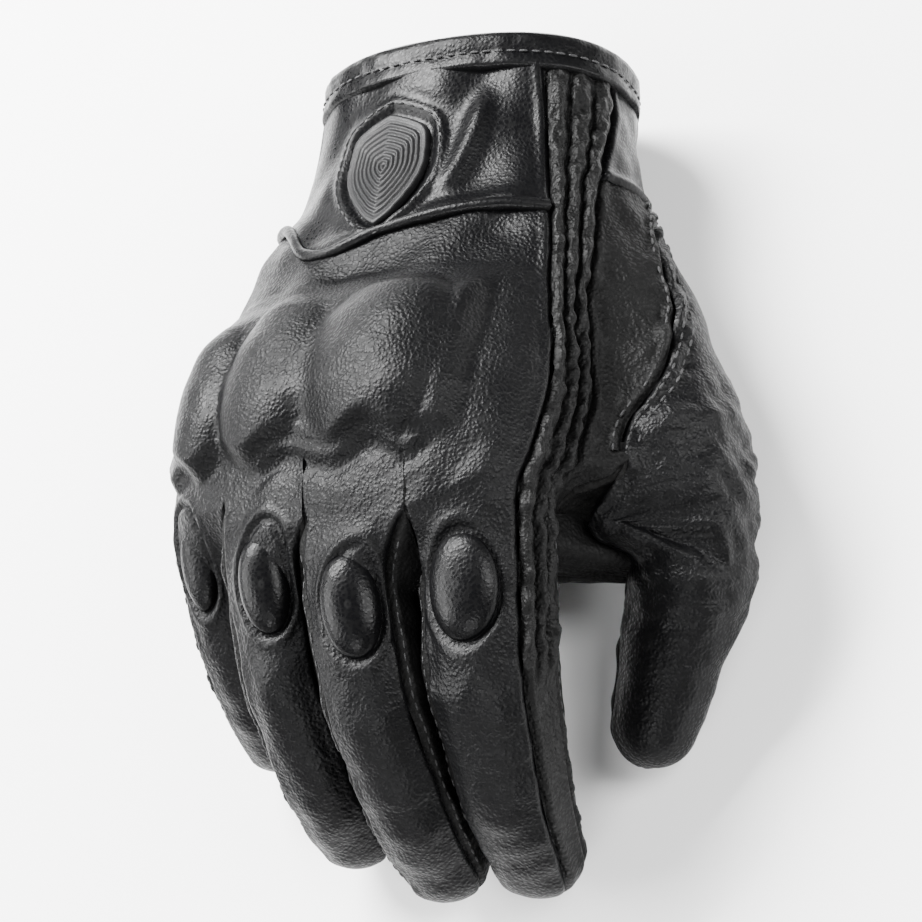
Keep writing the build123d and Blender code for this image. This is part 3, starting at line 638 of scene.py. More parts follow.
# ---- Palm ------------------------------------------------------------------------------------
# One panel of softer goatskin from the wrist to the fingers, with a second layer sewn over the
# grip and a small stuffed pad on the heel that the glove rests on.
THUMB_PALM = -72.0
palm_y = np.linspace(96, SPLIT_Y, 80)
base = hand_strip(palm_y, OUTER_SEAM, 360 + THUMB_PALM, seam_columns(105, 1.3))
height = 0.5 * waves(base, 19, 31) + 0.25 * waves(base, 8, 32)
height *= ease_in((palm_y - SPLIT_Y) / 8)[:, None]
points, normals = raised(base, hand_centres(palm_y), height)
palm = skin_piece("palm_of_hand", points, normals, palm_hide)
sewn_on("hand", palm, "palm_leather", "palm_panel", "wrist_elastic")


def layer(name, ys, angles, low, high, hide, roll=1.6):
    """A flat piece sewn on the hand between two heights, with rolled edges and a closed back."""
    ys = np.linspace(ys[0], ys[1], max(8, int(abs(ys[1] - ys[0]) / 1.1)))
    turns = np.linspace(angles[0], angles[1], max(8, int(abs(angles[1] - angles[0]) * 0.8)))
    base = hand_skin(ys[:, None], turns[None, :])
    centres = hand_centres(ys)
    normal = grid_normals(base, centres)
    first, last = edge_distances(base)
    ends = np.minimum(np.abs(ys - ys[0]), np.abs(ys - ys[-1]))[:, None]
    inset = np.minimum(np.minimum(first, last), ends)
    crown = np.sqrt(np.clip(1 - (1 - np.clip(inset / roll, 0, 1)) ** 2, 0, 1))
    stitch_dip = 0.25 * bell((inset - 2.4) / 0.5)
    top = low + (high - low) * crown - stitch_dip + 0.12 * waves(base, 9, 41) * crown
    upper = base + normal * top[..., None]
    lower = base + normal * low
    piece = skin_piece(name, upper, grid_normals(upper, centres), hide)
    under = skin_piece(name + "_back", lower, -normal, hide)
    under.data.flip_normals()
    with bpy.context.temp_override(active_object=piece, object=piece,
                                   selected_editable_objects=[piece, under],
                                   selected_objects=[piece, under]):
        bpy.ops.object.join()
    return piece


patch = layer("grip_patch", (68, 24), (222, 283), 0.35, 1.5, palm_hide)
sewn_on("hand", patch, "palm_leather", "palm_patch")

HEEL_MIDDLE, HEEL_HALF, HEEL_TALL = (6.62, 106.0), (23.0, 12.0), 5.2
ring = np.radians(np.arange(0, 360, 5))
levels = ((0.0, 0.0), (0.02, 0.8), (0.05, 0.93), (0.35, 0.99), (0.9, 1.02), (2.2, 1.03),
          (3.8, 0.99), (4.7, 0.9), (HEEL_TALL, 0.6), (HEEL_TALL, 0.0))
heel_points = []
for level, grow in levels:
    x = np.sign(np.cos(ring)) * np.abs(np.cos(ring)) ** 0.5 * HEEL_HALF[0] * grow
    y = np.sign(np.sin(ring)) * np.abs(np.sin(ring)) ** 0.5 * HEEL_HALF[1] * grow
    heel_points.append(np.stack([x + HEEL_MIDDLE[0], y + HEEL_MIDDLE[1], 0 * x + level], -1))
heel_grid = np.array(heel_points)
heel_grid = np.concatenate([heel_grid, heel_grid[:, :1]], axis=1)
middle = np.array([[*HEEL_MIDDLE, HEEL_TALL / 2]] * len(levels))
heel_normals = unit(heel_grid - middle[:, None])
heel = skin_piece("heel_cushion", heel_grid, heel_normals, palm_hide)
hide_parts("heel_pad")
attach(heel, "hand")


# ---- Wrist closure, on the palm --------------------------------------------------------------
# A leather tab with a hook patch under its free end, which grips a loop patch on the palm.
# The tab is sewn down at the thumb side and bends there.
hook_finish = leather("hook_and_loop", (0.008, 0.008, 0.008), (0.02, 0.02, 0.02), 0.85, 1.0,
                      2600.0, 0.1, gloss=0.2)
TAB_Y = (91.0, 73.0)
loop = layer("loop_patch_face", TAB_Y, (205, 240), 0.3, 1.3, hook_finish, roll=0.6)
hook = layer("hook_patch_face", (86.5, 77.5), (208, 234), 1.6, 2.6, hook_finish, roll=0.6)
tab = layer("closure_tab", TAB_Y, (205, 256.7), 2.62, 4.12, palm_hide, roll=1.0)
anchor = layer("closure_anchor", TAB_Y, (259.3, 278), 0.3, 4.12, palm_hide, roll=1.0)
for piece, stands_for, body in ((loop, "loop_patch", "hand"), (hook, "hook_patch", "strap"),
                                (tab, "closure_strap", "strap"), (anchor, "strap_anchor",
                                                                  "hand")):
    sewn_on(body, piece, "palm_leather", stands_for)


# ---- Cuff -----------------------------------------------------------------------------------
# A short cuff of smooth goatskin over the back of the wrist, whose lower edge is turned over a
# cord into a thick welt. A soft fold stands up beside the badge, and the rim is bound.
BADGE_Y, BADGE_ANGLE = 92.5, 98.5
# degrees above level and distance from the badge's middle
BADGE_CORNERS = ((-90, 17.0), (-80, 15.4), (-68, 13.2), (-50, 11.4), (-30, 10.6), (-10, 10.5),
                 (15, 11.0), (32, 12.3), (44, 13.9), (52, 14.3), (62, 14.2), (76, 14.5), (90, 15.4))


def badge_outline(turn):
    """Distance from the badge's middle to its edge: a rounded shield, point to the fingers."""
    lift = np.degrees(np.arcsin(np.clip(np.sin(turn), -1, 1)))
    return np.interp(lift, *np.array(BADGE_CORNERS, float).T)


def badge_frame(base):
    """Flat coordinates round the badge's middle: across towards the thumb, and up the wrist."""
    middle = hand_skin(BADGE_Y, BADGE_ANGLE)
    return base[..., 0] - middle[0], base[..., 1] - middle[1]


CUFF_TOP = 119.0  # the panels end here, inside the binding
cuff_rows = np.linspace(0, 1, 52)
columns = seam_columns(110, 1.0)
y_grid = np.full((len(cuff_rows), len(columns)), 100.0)
for _ in range(4):  # the seam and the welt line each depend on the other's place
    start_a = fair(y_grid, RIB_BACK_SEAM, 1)
    a_grid = start_a + (OUTER_SEAM - start_a) * columns[None, :]
    low_y = fair(a_grid, WELT_LINE, 1)
    y_grid = CUFF_TOP + (low_y - CUFF_TOP) * cuff_rows[:, None]
base = hand_skin(y_grid, a_grid)
u, v = badge_frame(base)
gap = np.hypot(u, v) - badge_outline(np.arctan2(v, u))
height = 0.35 + 0.7 * waves(base * np.array([1, 0.7, 1]), 23, 51) * ease_in((gap - 3) / 6)
height += 1.9 * bell((a_grid - 76 + (y_grid - 95) * 0.12) / 4.5) * ease_in((115 - y_grid) / 12) \
    * ease_in((y_grid - 80) / 9)
height += np.where(gap > 0, 1.1 * bell((gap - 3.2) / 1.5), 0) - 0.6 * bell((gap - 0.6) / 1.0)
height = np.where(gap < 0, 0.1, height)
height += 0.8 * bell((y_grid - low_y - 1.5) / 2.6)
cuff_centres = hand_centres(y_grid.mean(axis=1))
points, normals = raised(base, cuff_centres, height)
cuff = skin_piece("cuff_of_back", points, normals, smooth_hide)
sewn_on("hand", cuff, "smooth_leather", "cuff_back")


def tube(name, middle, up, wide, tall, hide, sides=14):
    """A closed cord of oval section along a line, with its own up directions."""
    along = unit(np.gradient(middle, axis=0))
    side = unit(np.cross(along, up))
    up = np.cross(side, along)
    turns = np.linspace(0, 2 * np.pi, sides + 1)
    ends = np.ones(len(middle))
    ends[0] = ends[-1] = 0.02
    out = (side[:, None] * np.cos(turns)[None, :, None] * wide
           + up[:, None] * np.sin(turns)[None, :, None] * tall) * ends[:, None, None]
    return skin_piece(name, middle[:, None] + out, unit(out + 1e-9), hide)


welt_a = np.linspace(fair(78.5, RIB_BACK_SEAM, 1) + 0.5, OUTER_SEAM + 4, 120)
welt_y = fair(welt_a, WELT_LINE, 1)
welt_base = hand_skin(welt_y, welt_a)
welt_up = unit(welt_base - hand_centres(welt_y))
welt_wide = 1.5 + 0.25 * waves(welt_base, 12, 61)
welt = tube("cuff_welt_roll", welt_base + welt_up * 0.9, welt_up, welt_wide[:, None, None],
            1.5, smooth_hide)
sewn_on("hand", welt, "smooth_leather", "cuff_welt")

side_y = np.linspace(CUFF_TOP, 89.2, 34)
base = hand_strip(side_y, THUMB_PALM, fair(side_y, RIB_SIDE_SEAM, 1), seam_columns(60, 1.1))
height = 0.3 + 0.4 * waves(base, 14, 71) + 0.8 * bell((side_y - 90.5) / 1.4)[:, None]
height -= 1.6 * bell((side_y - 88.6) / 0.7)[:, None]
points, normals = raised(base, hand_centres(side_y), height)
cuff_side = skin_piece("cuff_of_side", points, normals, smooth_hide)
sewn_on("hand", cuff_side, "smooth_leather", "cuff_side")

palm_cuff_y = np.linspace(CUFF_TOP, 94.5, 28)
base = hand_strip(palm_cuff_y, OUTER_SEAM, 360 + THUMB_PALM, seam_columns(100, 1.3))
height = 0.3 + 0.4 * waves(base, 16, 72) + 0.7 * bell((palm_cuff_y - 95.5) / 1.4)[:, None]
points, normals = raised(base, hand_centres(palm_cuff_y), height)
palm_cuff = skin_piece("cuff_of_palm", points, normals, palm_hide)
sewn_on("hand", palm_cuff, "palm_leather", "cuff_palm")

# The binding is a folded strip over the raw edge; behind it the lining goes into the glove.
BINDING = ((117.0, -0.6), (117.3, 1.2), (118.3, 1.45), (120.5, 1.3), (121.2, 1.05), (121.9, 1.3),
           (124.5, 1.5), (126.0, 1.2), (126.8, 0.3), (127.0, -0.8), (126.5, -1.9), (125, -2.4),
           (118, -2.6), (112, -2.8))
rim_turns = np.linspace(0, 360, 181)
binding_grid = []
for (y, out) in BINDING:
    base = hand_skin(min(y, 125.9), rim_turns)
    base[:, 1] = y
    centre = hand_centres(np.array([min(y, 125.9)]))[0]
    centre[1] = y
    tucks = 0.18 * waves(base, 6, 81) if out > 0.9 else 0
    binding_grid.append(base + unit(base - centre) * np.asarray(out + tucks)[..., None])
binding_grid = np.array(binding_grid)
across = np.gradient(binding_grid, axis=1)
binding_normals = unit(np.cross(across, np.gradient(binding_grid, axis=0)))
outside = binding_grid[3] - hand_centres(np.array([120.5]))
if np.sum(binding_normals[3] * outside) < 0:
    binding_normals = -binding_normals
binding = skin_piece("cuff_binding_strip", binding_grid, binding_normals, smooth_hide)
sewn_on("hand", binding, "smooth_leather", "cuff_binding")

lining_finish = leather("knit_lining", (0.010, 0.010, 0.011), (0.02, 0.02, 0.02), 0.9, 1.0,
                        1700.0, 0.2, gloss=0.2)
lining_y = np.array([112.5, 108, 100, 92, 84, 76, 68, 60, 52, 45, 41, 39, 38.2])
lining_in = np.array([2.9, 3.1, 3.3, 3.4, 3.5, 3.6, 3.8, 4.2, 5.5, 8, 12, 17, 60])
lining_grid = []
for y, inner in zip(lining_y, lining_in):
    base = hand_only(y, rim_turns)
    centre = hand_centres(np.array([y]))[0]
    reach = np.linalg.norm(base - centre, axis=-1, keepdims=True)
    lining_grid.append(centre + (base - centre) * np.maximum(reach - inner, 0.05) / reach)
lining_grid = np.array(lining_grid)
lining = skin_piece("wrist_lining", lining_grid, -grid_normals(lining_grid,
                                                               hand_centres(lining_y)),
                    lining_finish)
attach(lining, "hand")


# ---- Badge on the cuff ----------------------------------------------------------------------
# A small moulded rubber shield with plain concentric grooves, sewn into a leather surround.
rubber = leather("moulded_rubber", (0.006, 0.006, 0.0065), (0.02, 0.02, 0.02), 0.42, 0.15,
                 2600.0, 0.0, gloss=0.2)
reach = np.concatenate([np.linspace(0, 0.9, 46), [0.93, 0.955, 0.975, 0.99, 1.0, 1.005]])
badge_turns = np.radians(np.linspace(0, 360, 97))
edge = badge_outline(badge_turns)
local_u = reach[:, None] * edge * np.cos(badge_turns)
local_v = reach[:, None] * edge * np.sin(badge_turns)
badge_middle = hand_skin(BADGE_Y, BADGE_ANGLE)
badge_search = np.linspace(55, 145, 91)  # angles between which the badge lies


def under_badge(u, v):
    """The hand's surface at flat coordinates round the badge's middle."""
    row_x = hand_only(BADGE_Y + v, badge_search)[:, 0]
    return hand_only(BADGE_Y + v, np.interp(-(badge_middle[0] + u), -row_x, badge_search))


def crown_normals(points, up):
    """Normals of rings about a middle, all on the side of the up directions."""
    normals = unit(np.cross(np.gradient(points, axis=0), np.gradient(points, axis=1)))
    normals = np.where(np.sum(normals * up, -1, keepdims=True) < 0, -normals, normals)
    normals[0] = up[0]
    return normals


badge_points = np.array([[under_badge(u, v) for u, v in zip(us, vs)]
                         for us, vs in zip(local_u, local_v)])
badge_y = badge_points[..., 1]
badge_up = unit(badge_points - np.stack([fair(badge_y, HAND_ROWS, 1), badge_y,
                                         fair(badge_y, HAND_ROWS, 2) - 12], -1))
grooves = 0.28 * np.cos(reach * 2 * np.pi * 9)
rim = 0.9 * bell((reach - 0.93) / 0.03)
dome_height = 1.5 + 0.8 * (1 - reach**2) + grooves * (reach < 0.86) + rim * 0.3
dome_height = np.where(reach > 0.975, dome_height * (1.004 - reach) / 0.03, dome_height)
badge_points = badge_points + badge_up * dome_height[:, None, None]
badge_normals = crown_normals(badge_points, badge_up)
badge = skin_piece("badge_shield", badge_points, badge_normals, rubber)
sewn_on("hand", badge, "smooth_leather", "emblem_badge", "emblem_backing")


# ---- Fingers ---------------------------------------------------------------------------------
# Each finger is four strips sewn edge to edge: a back, a front and two narrow side strips, the
# fourchettes. They grow out of the hand's panels and part in a rounded slit.
# Seams round each finger: from and to on the finger, skin or inner wall, from and to on the hand
RIBS_FROM, RIBS_TO = -999.0, 999.0  # stand for the ribs' two seams, which move with y
INDEX_CROTCH = -36.0


def finger_strips(near, far, near_palm, far_palm, kind="wall", hide=fourchette_hide):
    """A finger's strips from its seams on the hand: near is the thumb's side, far the other."""
    return (("back", 35, 145, "skin", near, far, back_hide),
            ("fourchette", 145, 215, kind, far, far_palm, hide),
            ("front", 215, 325, "skin", far_palm, near_palm, palm_hide),
            ("near_fourchette", 325, 395, "wall", near_palm, near, fourchette_hide))


PANELS = {
    "index": (("side", -40, -5, "skin", INDEX_CROTCH, RIBS_FROM, gusset_hide),
              ("ribs", -5, 41, "skin", RIBS_FROM, RIBS_TO, rib_hide),
              ("back", 41, 145, "skin", RIBS_TO, 62.5, back_hide),
              ("fourchette", 145, 215, "wall", 62.5, 288, fourchette_hide),
              ("front", 215, 320, "wall", 288, INDEX_CROTCH, palm_hide)),
    "middle": finger_strips(62.5, 90.5, 288, 261),
    "ring": finger_strips(90.5, 116, 261, 230.5),
    "little": finger_strips(116, OUTER_SEAM, 230.5, 200, "skin", back_hide),
}
SLIT_TOPS = {"index": (14.0, -2.0), "middle": (-2.0, -2.0), "ring": (-2.0, 5.0),
             "little": (5.0, 10.0)}  # y of the slit on the thumb's side and on the other
FINGER_ROUND = 12.0  # half width that turns degrees round a finger into millimetres
PARTING = 15.0  # the length over which a finger leaves the hand's form
DOMES = {  # middle along the finger and round it, half length, half width, rise
    "index": (27.5, 93.0, 11.8, 6.7, 3.4), "middle": (28.5, 80.0, 11.8, 7.0, 3.6),
    "ring": (24.0, 80.0, 11.4, 6.4, 3.4), "little": (22.5, 100.0, 10.4, 5.8, 3.0),
}
CUTS = {"index": 31.0, "middle": 33.0, "ring": 31.0, "little": 27.0}


def hand_angle(mark, y):
    if mark == RIBS_FROM:
        return fair(y, RIB_SIDE_SEAM, 1)
    if mark == RIBS_TO:
        return fair(y, RIB_BACK_SEAM, 1)
    return np.full(np.shape(y), float(mark))


def finger_surface(finger, s, turn, share, kind, first, last):
    """The finger's form, growing out of the hand's: rows along s, columns round the finger."""
    on_finger = finger_skin(finger, s[:, None], turn[None, :])
    centre_y = finger_path(finger, s)[0][:, 1]
    y = np.clip(centre_y, HAND_END_Y, SPLIT_Y)
    near_top, far_top = SLIT_TOPS[finger]
    top = near_top + (far_top - near_top) * (1 - np.cos(np.radians(turn))) / 2
    w = ease_in((top[None, :] - centre_y[:, None]) / PARTING) ** 0.5
    a, b = hand_angle(first, y), hand_angle(last, y)
    if kind == "skin":
        on_hand = hand_skin(y[:, None], a[:, None] + (b - a)[:, None] * share[None, :])
    else:
        start, end = hand_skin(y, a), hand_skin(y, b)
        on_hand = start[:, None] + (end - start)[:, None] * share[None, :, None]
    return on_hand * (1 - w[..., None]) + on_finger * w[..., None]


def start_of(finger):
    """Where along the finger its middle lies at the split between hand and finger."""
    s = np.arange(-30, 20, 0.1)
    return float(np.interp(-SPLIT_Y, -finger_path(finger, s)[0][:, 1], s))


def finger_relief(finger, base, s, turn):
    """The groove and lip round the pad, and the leather's slight unevenness."""
    at_s, at_turn, long, wide, _ = DOMES[finger]
    round_mm = np.radians(turn - at_turn) * FINGER_ROUND
    reach = np.hypot((s[:, None] - at_s) / long, round_mm[None, :] / wide)
    height = -0.9 * bell((reach - 1.0) / 0.07) + 0.55 * bell((reach - 1.2) / 0.1)
    return height + 0.3 * waves(base, 13, len(finger)) + 0.06 * waves(base, 5, 9)


def seam_gains(finger, part, centre_y):
    """How far each side seam of a strip has formed: a slit's edges only roll below its top."""
    near, far = (ease_in((top - centre_y + 3) / 5) for top in SLIT_TOPS[finger])
    whole = np.ones(len(centre_y))
    if finger == "index":
        return {"side": (near, whole), "ribs": (whole, whole), "back": (whole, far),
                "fourchette": (far, far), "front": (far, near)}[part]
    if finger == "little":
        return {"back": (near, whole), "fourchette": (whole, whole), "front": (whole, near),
                "near_fourchette": (near, near)}[part]
    return {"back": (near, far), "fourchette": (far, far), "front": (far, near),
            "near_fourchette": (near, near)}[part]


finger_edges = {}
for finger, panels in PANELS.items():
    f = FINGERS[finger]
    end = sum(f["lengths"]) + f["widths"][-1]
    start = start_of(finger)
    s = np.concatenate([np.linspace(start, end - f["widths"][-1], 118),
                        end - f["widths"][-1] * (1 - np.sin(np.radians(
                            np.linspace(0, 90, 15)[1:])))])
    centres = finger_path(finger, s)[0]
    cut_row = int(np.argmin(np.abs(s - CUTS[finger])))
    for (part, turn_a, turn_b, kind, first, last, hide) in panels:
        width = math.radians(turn_b - turn_a) * FINGER_ROUND
        share = np.linspace(0, 1, 34) if part == "ribs" else seam_columns(width, 0.8)
        turn = turn_a + (turn_b - turn_a) * share
        base = finger_surface(finger, s, turn, share, kind, first, last)
        fade = ease_in((end - s) / 9)[:, None]
        at_start = ease_in((s - start) / 6)[:, None]
        if part == "back":
            height = finger_relief(finger, base, s, turn) * fade * at_start
            y = np.clip(centres[:, 1], HAND_END_Y, SPLIT_Y)[:, None]
            a = hand_angle(first, y) * (1 - share) + hand_angle(last, y) * share
            parted = ease_in((8 - centres[:, 1]) / 18)[:, None]
            height = height + guard_height(y, a) * (1 - parted)
        elif part == "ribs":
            stop = ease_in((50 - s) / 10)
            height = rib_height(base, share[None, :], np.zeros((1, 1))) * stop[:, None]
        else:
            height = 0.3 * waves(base, 9, 90 + len(part)) * fade * at_start
            if "fourchette" in part and kind == "wall":
                height = height + 1.3 * np.sin(np.pi * share) * ease_in((60 - s) / 12)[:, None]
        rolls = seam_gains(finger, part, centres[:, 1])
        if part == "ribs":
            rolls = (1 - stop, 1 - stop)
        points, normals = raised(base, centres, height, edges=rolls)
        points = base + (points - base) * np.maximum(fade, 0.02)[..., None]
        finger_edges[finger, part] = (s, points)
        stands = {"back": "back", "fourchette": "sides", "front": "front"}.get(part)
        root = skin_piece(f"{finger}_root_{part}", points, normals, hide,
                          slice(0, cut_row + 1))
        tip = skin_piece(f"{finger}_end_{part}", points, normals, hide, slice(cut_row, None))
        if stands:
            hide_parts(f"{finger}_base_{stands}")
            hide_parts(f"{finger}_tip_{stands}")
        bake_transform(root)
        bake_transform(tip)

    # the padded oval on the finger's back
    at_s, at_turn, long, wide, rise = DOMES[finger]
    reach = np.concatenate([np.linspace(0, 0.86, 16), [0.92, 0.96, 0.985, 1.0, 1.01]])
    around = np.radians(np.linspace(0, 360, 65))
    pad_s = at_s + reach[:, None] * long * np.cos(around)
    pad_turn = at_turn + reach[:, None] * wide * np.sin(around) / FINGER_ROUND * 180 / math.pi
    base = finger_skin(finger, pad_s, pad_turn)
    centre = finger_path(finger, pad_s)[0]
    up = unit(base - centre)
    lift = rise * np.sqrt(np.clip(1 - reach**2.6, 0, 1)) - 0.55
    pad_points = base + up * lift[:, None, None]
    pad = skin_piece(f"{finger}_padded_oval", pad_points, crown_normals(pad_points, up),
                     smooth_hide)
    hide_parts(f"{finger}_pad")
    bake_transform(pad)

for fork in ("fork_index_middle", "fork_middle_ring", "fork_ring_little"):
    frame["nodes"][fork].data.materials.clear()
    frame["nodes"][fork].data.materials.append(fourchette_hide)


# ---- Thumb ------------------------------------------------------------------------------------
# A wide outer panel that starts at the cuff and wraps the ball of the thumb, closed by a
# narrow inner panel that faces the first finger. It creases where the thumb bends.
THUMB_AXIS = (-0.28, -0.10, 0.955)
THUMB_CROTCH_Y = 14.0
THUMB_PARTING = 18.0  # the length over which the thumb leaves the hand's form
THUMB_SOFTENING = 37  # half millimetres over which a corner of its middle line is rounded
THUMB_ROOT_ZONE = ((62.4, 20.8, 23.9), (65.2, 8.3, 22.3))
THUMB_TIP_ZONE = ((66.1, 8.2, 22.9), (65.2, -9.5, 20.0))
THUMB_CUTS = (20.8, 8.2)


def thumb_line():
    """The thumb's middle line every half millimetre, its corners rounded, and its widths."""
    corners = np.array(THUMB_PATH, float)
    marks = np.concatenate([[0], np.cumsum(np.linalg.norm(np.diff(corners, axis=0), axis=1))])
    s = np.arange(-30, marks[-1] + 30, 0.5)
    middle = np.stack([np.interp(s, marks, corners[:, i]) for i in range(3)], -1)
    for side, a, b in ((s < 0, 0, 1), (s > marks[-1], -1, -2)):
        way = unit(corners[a] - corners[b])
        middle[side] = corners[a] + way * np.abs(s[side] - (0 if a == 0 else marks[-1]))[:, None]
    kernel = np.ones(THUMB_SOFTENING) / THUMB_SOFTENING
    smooth = np.stack([np.convolve(middle[:, i], kernel, "same") for i in range(3)], -1)
    smooth[:20], smooth[-20:] = middle[:20], middle[-20:]
    return s, smooth, marks


def thumb_skin(s, angle):
    """A point on the thumb's tube: angle 0 faces away from the hand, 90 up."""
    s, angle = np.broadcast_arrays(np.asarray(s, float), np.asarray(angle, float))
    grid, line, marks = thumb_line()
    ways = unit(np.gradient(line, axis=0))
    centre = np.stack([np.interp(s, grid, line[:, i]) for i in range(3)], -1)
    way = unit(np.stack([np.interp(s, grid, ways[:, i]) for i in range(3)], -1))
    up = unit(np.array(THUMB_AXIS) - way * (way @ np.array(THUMB_AXIS))[..., None])
    across = -np.cross(way, up)
    width = np.interp(s, marks, THUMB_WIDTHS)
    over = np.clip((s - marks[-1]) / THUMB_WIDTHS[-1], 0, TIP_SHARE)
    width = np.where(s > marks[-1], THUMB_WIDTHS[-1] * np.sqrt(1 - over**2), width)
    x, z = oval(angle, FINGER_POWER)
    return centre + across * (x * width)[..., None] + up * (z * width * 0.95)[..., None], centre


grid, line, marks = thumb_line()
thumb_end = marks[-1] + THUMB_WIDTHS[-1]
thumb_start = float(np.interp(-89.5, -line[:, 1], grid))
s = np.concatenate([np.linspace(thumb_start, marks[-1], 150),
                    thumb_end - THUMB_WIDTHS[-1] * (1 - np.sin(np.radians(
                        np.linspace(0, 90, 15)[1:])))])
centre = thumb_skin(s, 0.0)[1]
row_y = np.maximum(centre[:, 1], HAND_END_Y)
hand_y = np.maximum(row_y, 2)  # the hand's form is followed down to here
parting = ease_in((THUMB_CROTCH_Y - centre[:, 1]) / THUMB_PARTING)[:, None, None]
cut_rows = [int(np.argmin(np.abs(centre[:, 1] - y))) for y in THUMB_CUTS]
seam = np.where(row_y > THUMB_CROTCH_Y, fair(row_y, THUMB_SEAM, 1), INDEX_CROTCH)
crease = bell((centre[:, 1] - 12) / 30)[:, None]
fade = ease_in((thumb_end - s) / 9)[:, None]

columns = seam_columns(66, 0.9)
turn = 135 - 270 * columns
on_thumb = thumb_skin(s[:, None], turn[None, :])[0]
on_hand = hand_strip(hand_y, seam, THUMB_PALM, columns)
base = on_hand * (1 - parting) + on_thumb * parting
first, last = edge_distances(base)
height = 0.55 * waves(base * np.array([1, 0.8, 1]), 24, 101)
height += crease * (0.55 * waves(base * np.array([0.5, 1.2, 1]), 9, 102)
                    + 0.25 * waves(base, 5, 103))
height += pucker(base, first, 104) * ease_in((centre[:, 1] - 10) / 12)[:, None]
height += 0.4 * seam_roll(89.5 - centre[:, 1])[:, None] * (centre[:, 1] > 60)[:, None]
sheet_centres = np.where((row_y > 20)[:, None], hand_centres(row_y), centre)
points, normals = raised(base, sheet_centres, height * fade)
grid_n = np.cross(np.gradient(points, axis=0), np.gradient(points, axis=1))
normals = unit(grid_n) * np.sign(np.sum(grid_n * (points - sheet_centres[:, None])))
thumb_outer = points


def thumb_lengths(points, normals, hide, lengths):
    """Cut a strip of the thumb at its bends; a length without a zone moves with its body, the
    others keep their place.
    """
    for name, first_row, last_row, stands_for, ends, zone in lengths:
        piece = skin_piece(name, points, normals, hide, slice(first_row, last_row))
        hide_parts(*stands_for)
        if zone:
            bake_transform(piece)
        else:
            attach(piece, *ends)


first_cut, last_cut = cut_rows
thumb_lengths(points, normals, back_hide, (
    ("thumb_root_panel", 0, first_cut + 1, ("thumb_root_outer", "thumb_root_inner"),
     ("hand",), None),
    ("thumb_middle_panel", first_cut, last_cut + 1, ("thumb_base_outer",),
     ("hand", "thumb_base"), THUMB_ROOT_ZONE),
    ("thumb_end_panel", last_cut, None, ("thumb_tip_outer",),
     ("thumb_base", "thumb_tip"), THUMB_TIP_ZONE),
))

columns = seam_columns(26, 0.9)
turn = 225 - 90 * columns
on_thumb = thumb_skin(s[:, None], turn[None, :])[0]
start, finish = hand_skin(hand_y, THUMB_PALM), hand_skin(hand_y, seam)
on_hand = start[:, None] + (finish - start)[:, None] * columns[None, :, None]
base = on_hand * (1 - parting) + on_thumb * parting
height = 0.35 * waves(base, 9, 111) * fade
grid_n = grid_normals(base, centre)
first, last = edge_distances(base)
height = height + (seam_roll(first) + seam_roll(last)) * 0.8 * fade
moved = base + grid_n * height[..., None]
inner_normals = grid_normals(moved, centre)
thumb_lengths(moved, inner_normals, palm_hide, (
    ("thumb_middle_inner", first_cut, last_cut + 1, ("thumb_base_inner",),
     ("hand", "thumb_base"), THUMB_ROOT_ZONE),
    ("thumb_end_inner", last_cut, None, ("thumb_tip_inner",),
     ("thumb_base", "thumb_tip"), THUMB_TIP_ZONE),
))


# ---- Stitching --------------------------------------------------------------------------------
# Black bonded thread in short lock stitches, laid beside the seams by one node tree. Each row
# rides with the leather that it holds.
thread_finish = leather("bonded_thread", (0.012, 0.012, 0.013), (0.03, 0.03, 0.03), 0.5, 0.6,
                        3200.0, 0.0, gloss=0.4)
thread_tree = bpy.data.node_groups.new("thread_stitches", "GeometryNodeTree")
thread_tree.is_modifier = True
for socket, kind, way_in in (("Lines", "NodeSocketGeometry", "INPUT"),
                             ("Spacing", "NodeSocketFloat", "INPUT"),
                             ("Length", "NodeSocketFloat", "INPUT"),
                             ("Thickness", "NodeSocketFloat", "INPUT"),
                             ("Thread", "NodeSocketMaterial", "INPUT"),
                             ("Stitches", "NodeSocketGeometry", "OUTPUT")):
    thread_tree.interface.new_socket(name=socket, in_out=way_in, socket_type=kind)
t_in, t_out = node(thread_tree, "NodeGroupInput"), node(thread_tree, "NodeGroupOutput")
to_curve = node(thread_tree, "GeometryNodeMeshToCurve")
resample = node(thread_tree, "GeometryNodeResampleCurve", mode="LENGTH")
tangent = node(thread_tree, "GeometryNodeInputTangent")
align = node(thread_tree, "FunctionNodeAlignRotationToVector", axis="X")
bead = node(thread_tree, "GeometryNodeMeshUVSphere", Segments=8, Rings=6, Radius=0.5)
sizes = node(thread_tree, "ShaderNodeCombineXYZ")
shape = node(thread_tree, "GeometryNodeTransform")
lay = node(thread_tree, "GeometryNodeInstanceOnPoints")
real = node(thread_tree, "GeometryNodeRealizeInstances")
smooth_shade = node(thread_tree, "GeometryNodeSetShadeSmooth")
dress = node(thread_tree, "GeometryNodeSetMaterial")
connect(
    thread_tree,
    (t_in, "Lines", to_curve, "Mesh"), (to_curve, "Curve", resample, "Curve"),
    (t_in, "Spacing", resample, "Length"), (resample, "Curve", lay, "Points"),
    (tangent, "Tangent", align, "Vector"), (align, "Rotation", lay, "Rotation"),
    (t_in, "Length", sizes, "X"), (t_in, "Thickness", sizes, "Y"), (t_in, "Thickness", sizes, "Z"),
    (bead, "Mesh", shape, "Geometry"), (sizes, "Vector", shape, "Scale"),
    (shape, "Geometry", lay, "Instance"), (lay, "Instances", real, "Geometry"),
    (real, "Geometry", smooth_shade, "Geometry"), (smooth_shade, "Geometry", dress, "Geometry"),
    (t_in, "Thread", dress, "Material"), (dress, "Geometry", t_out, "Stitches"),
)


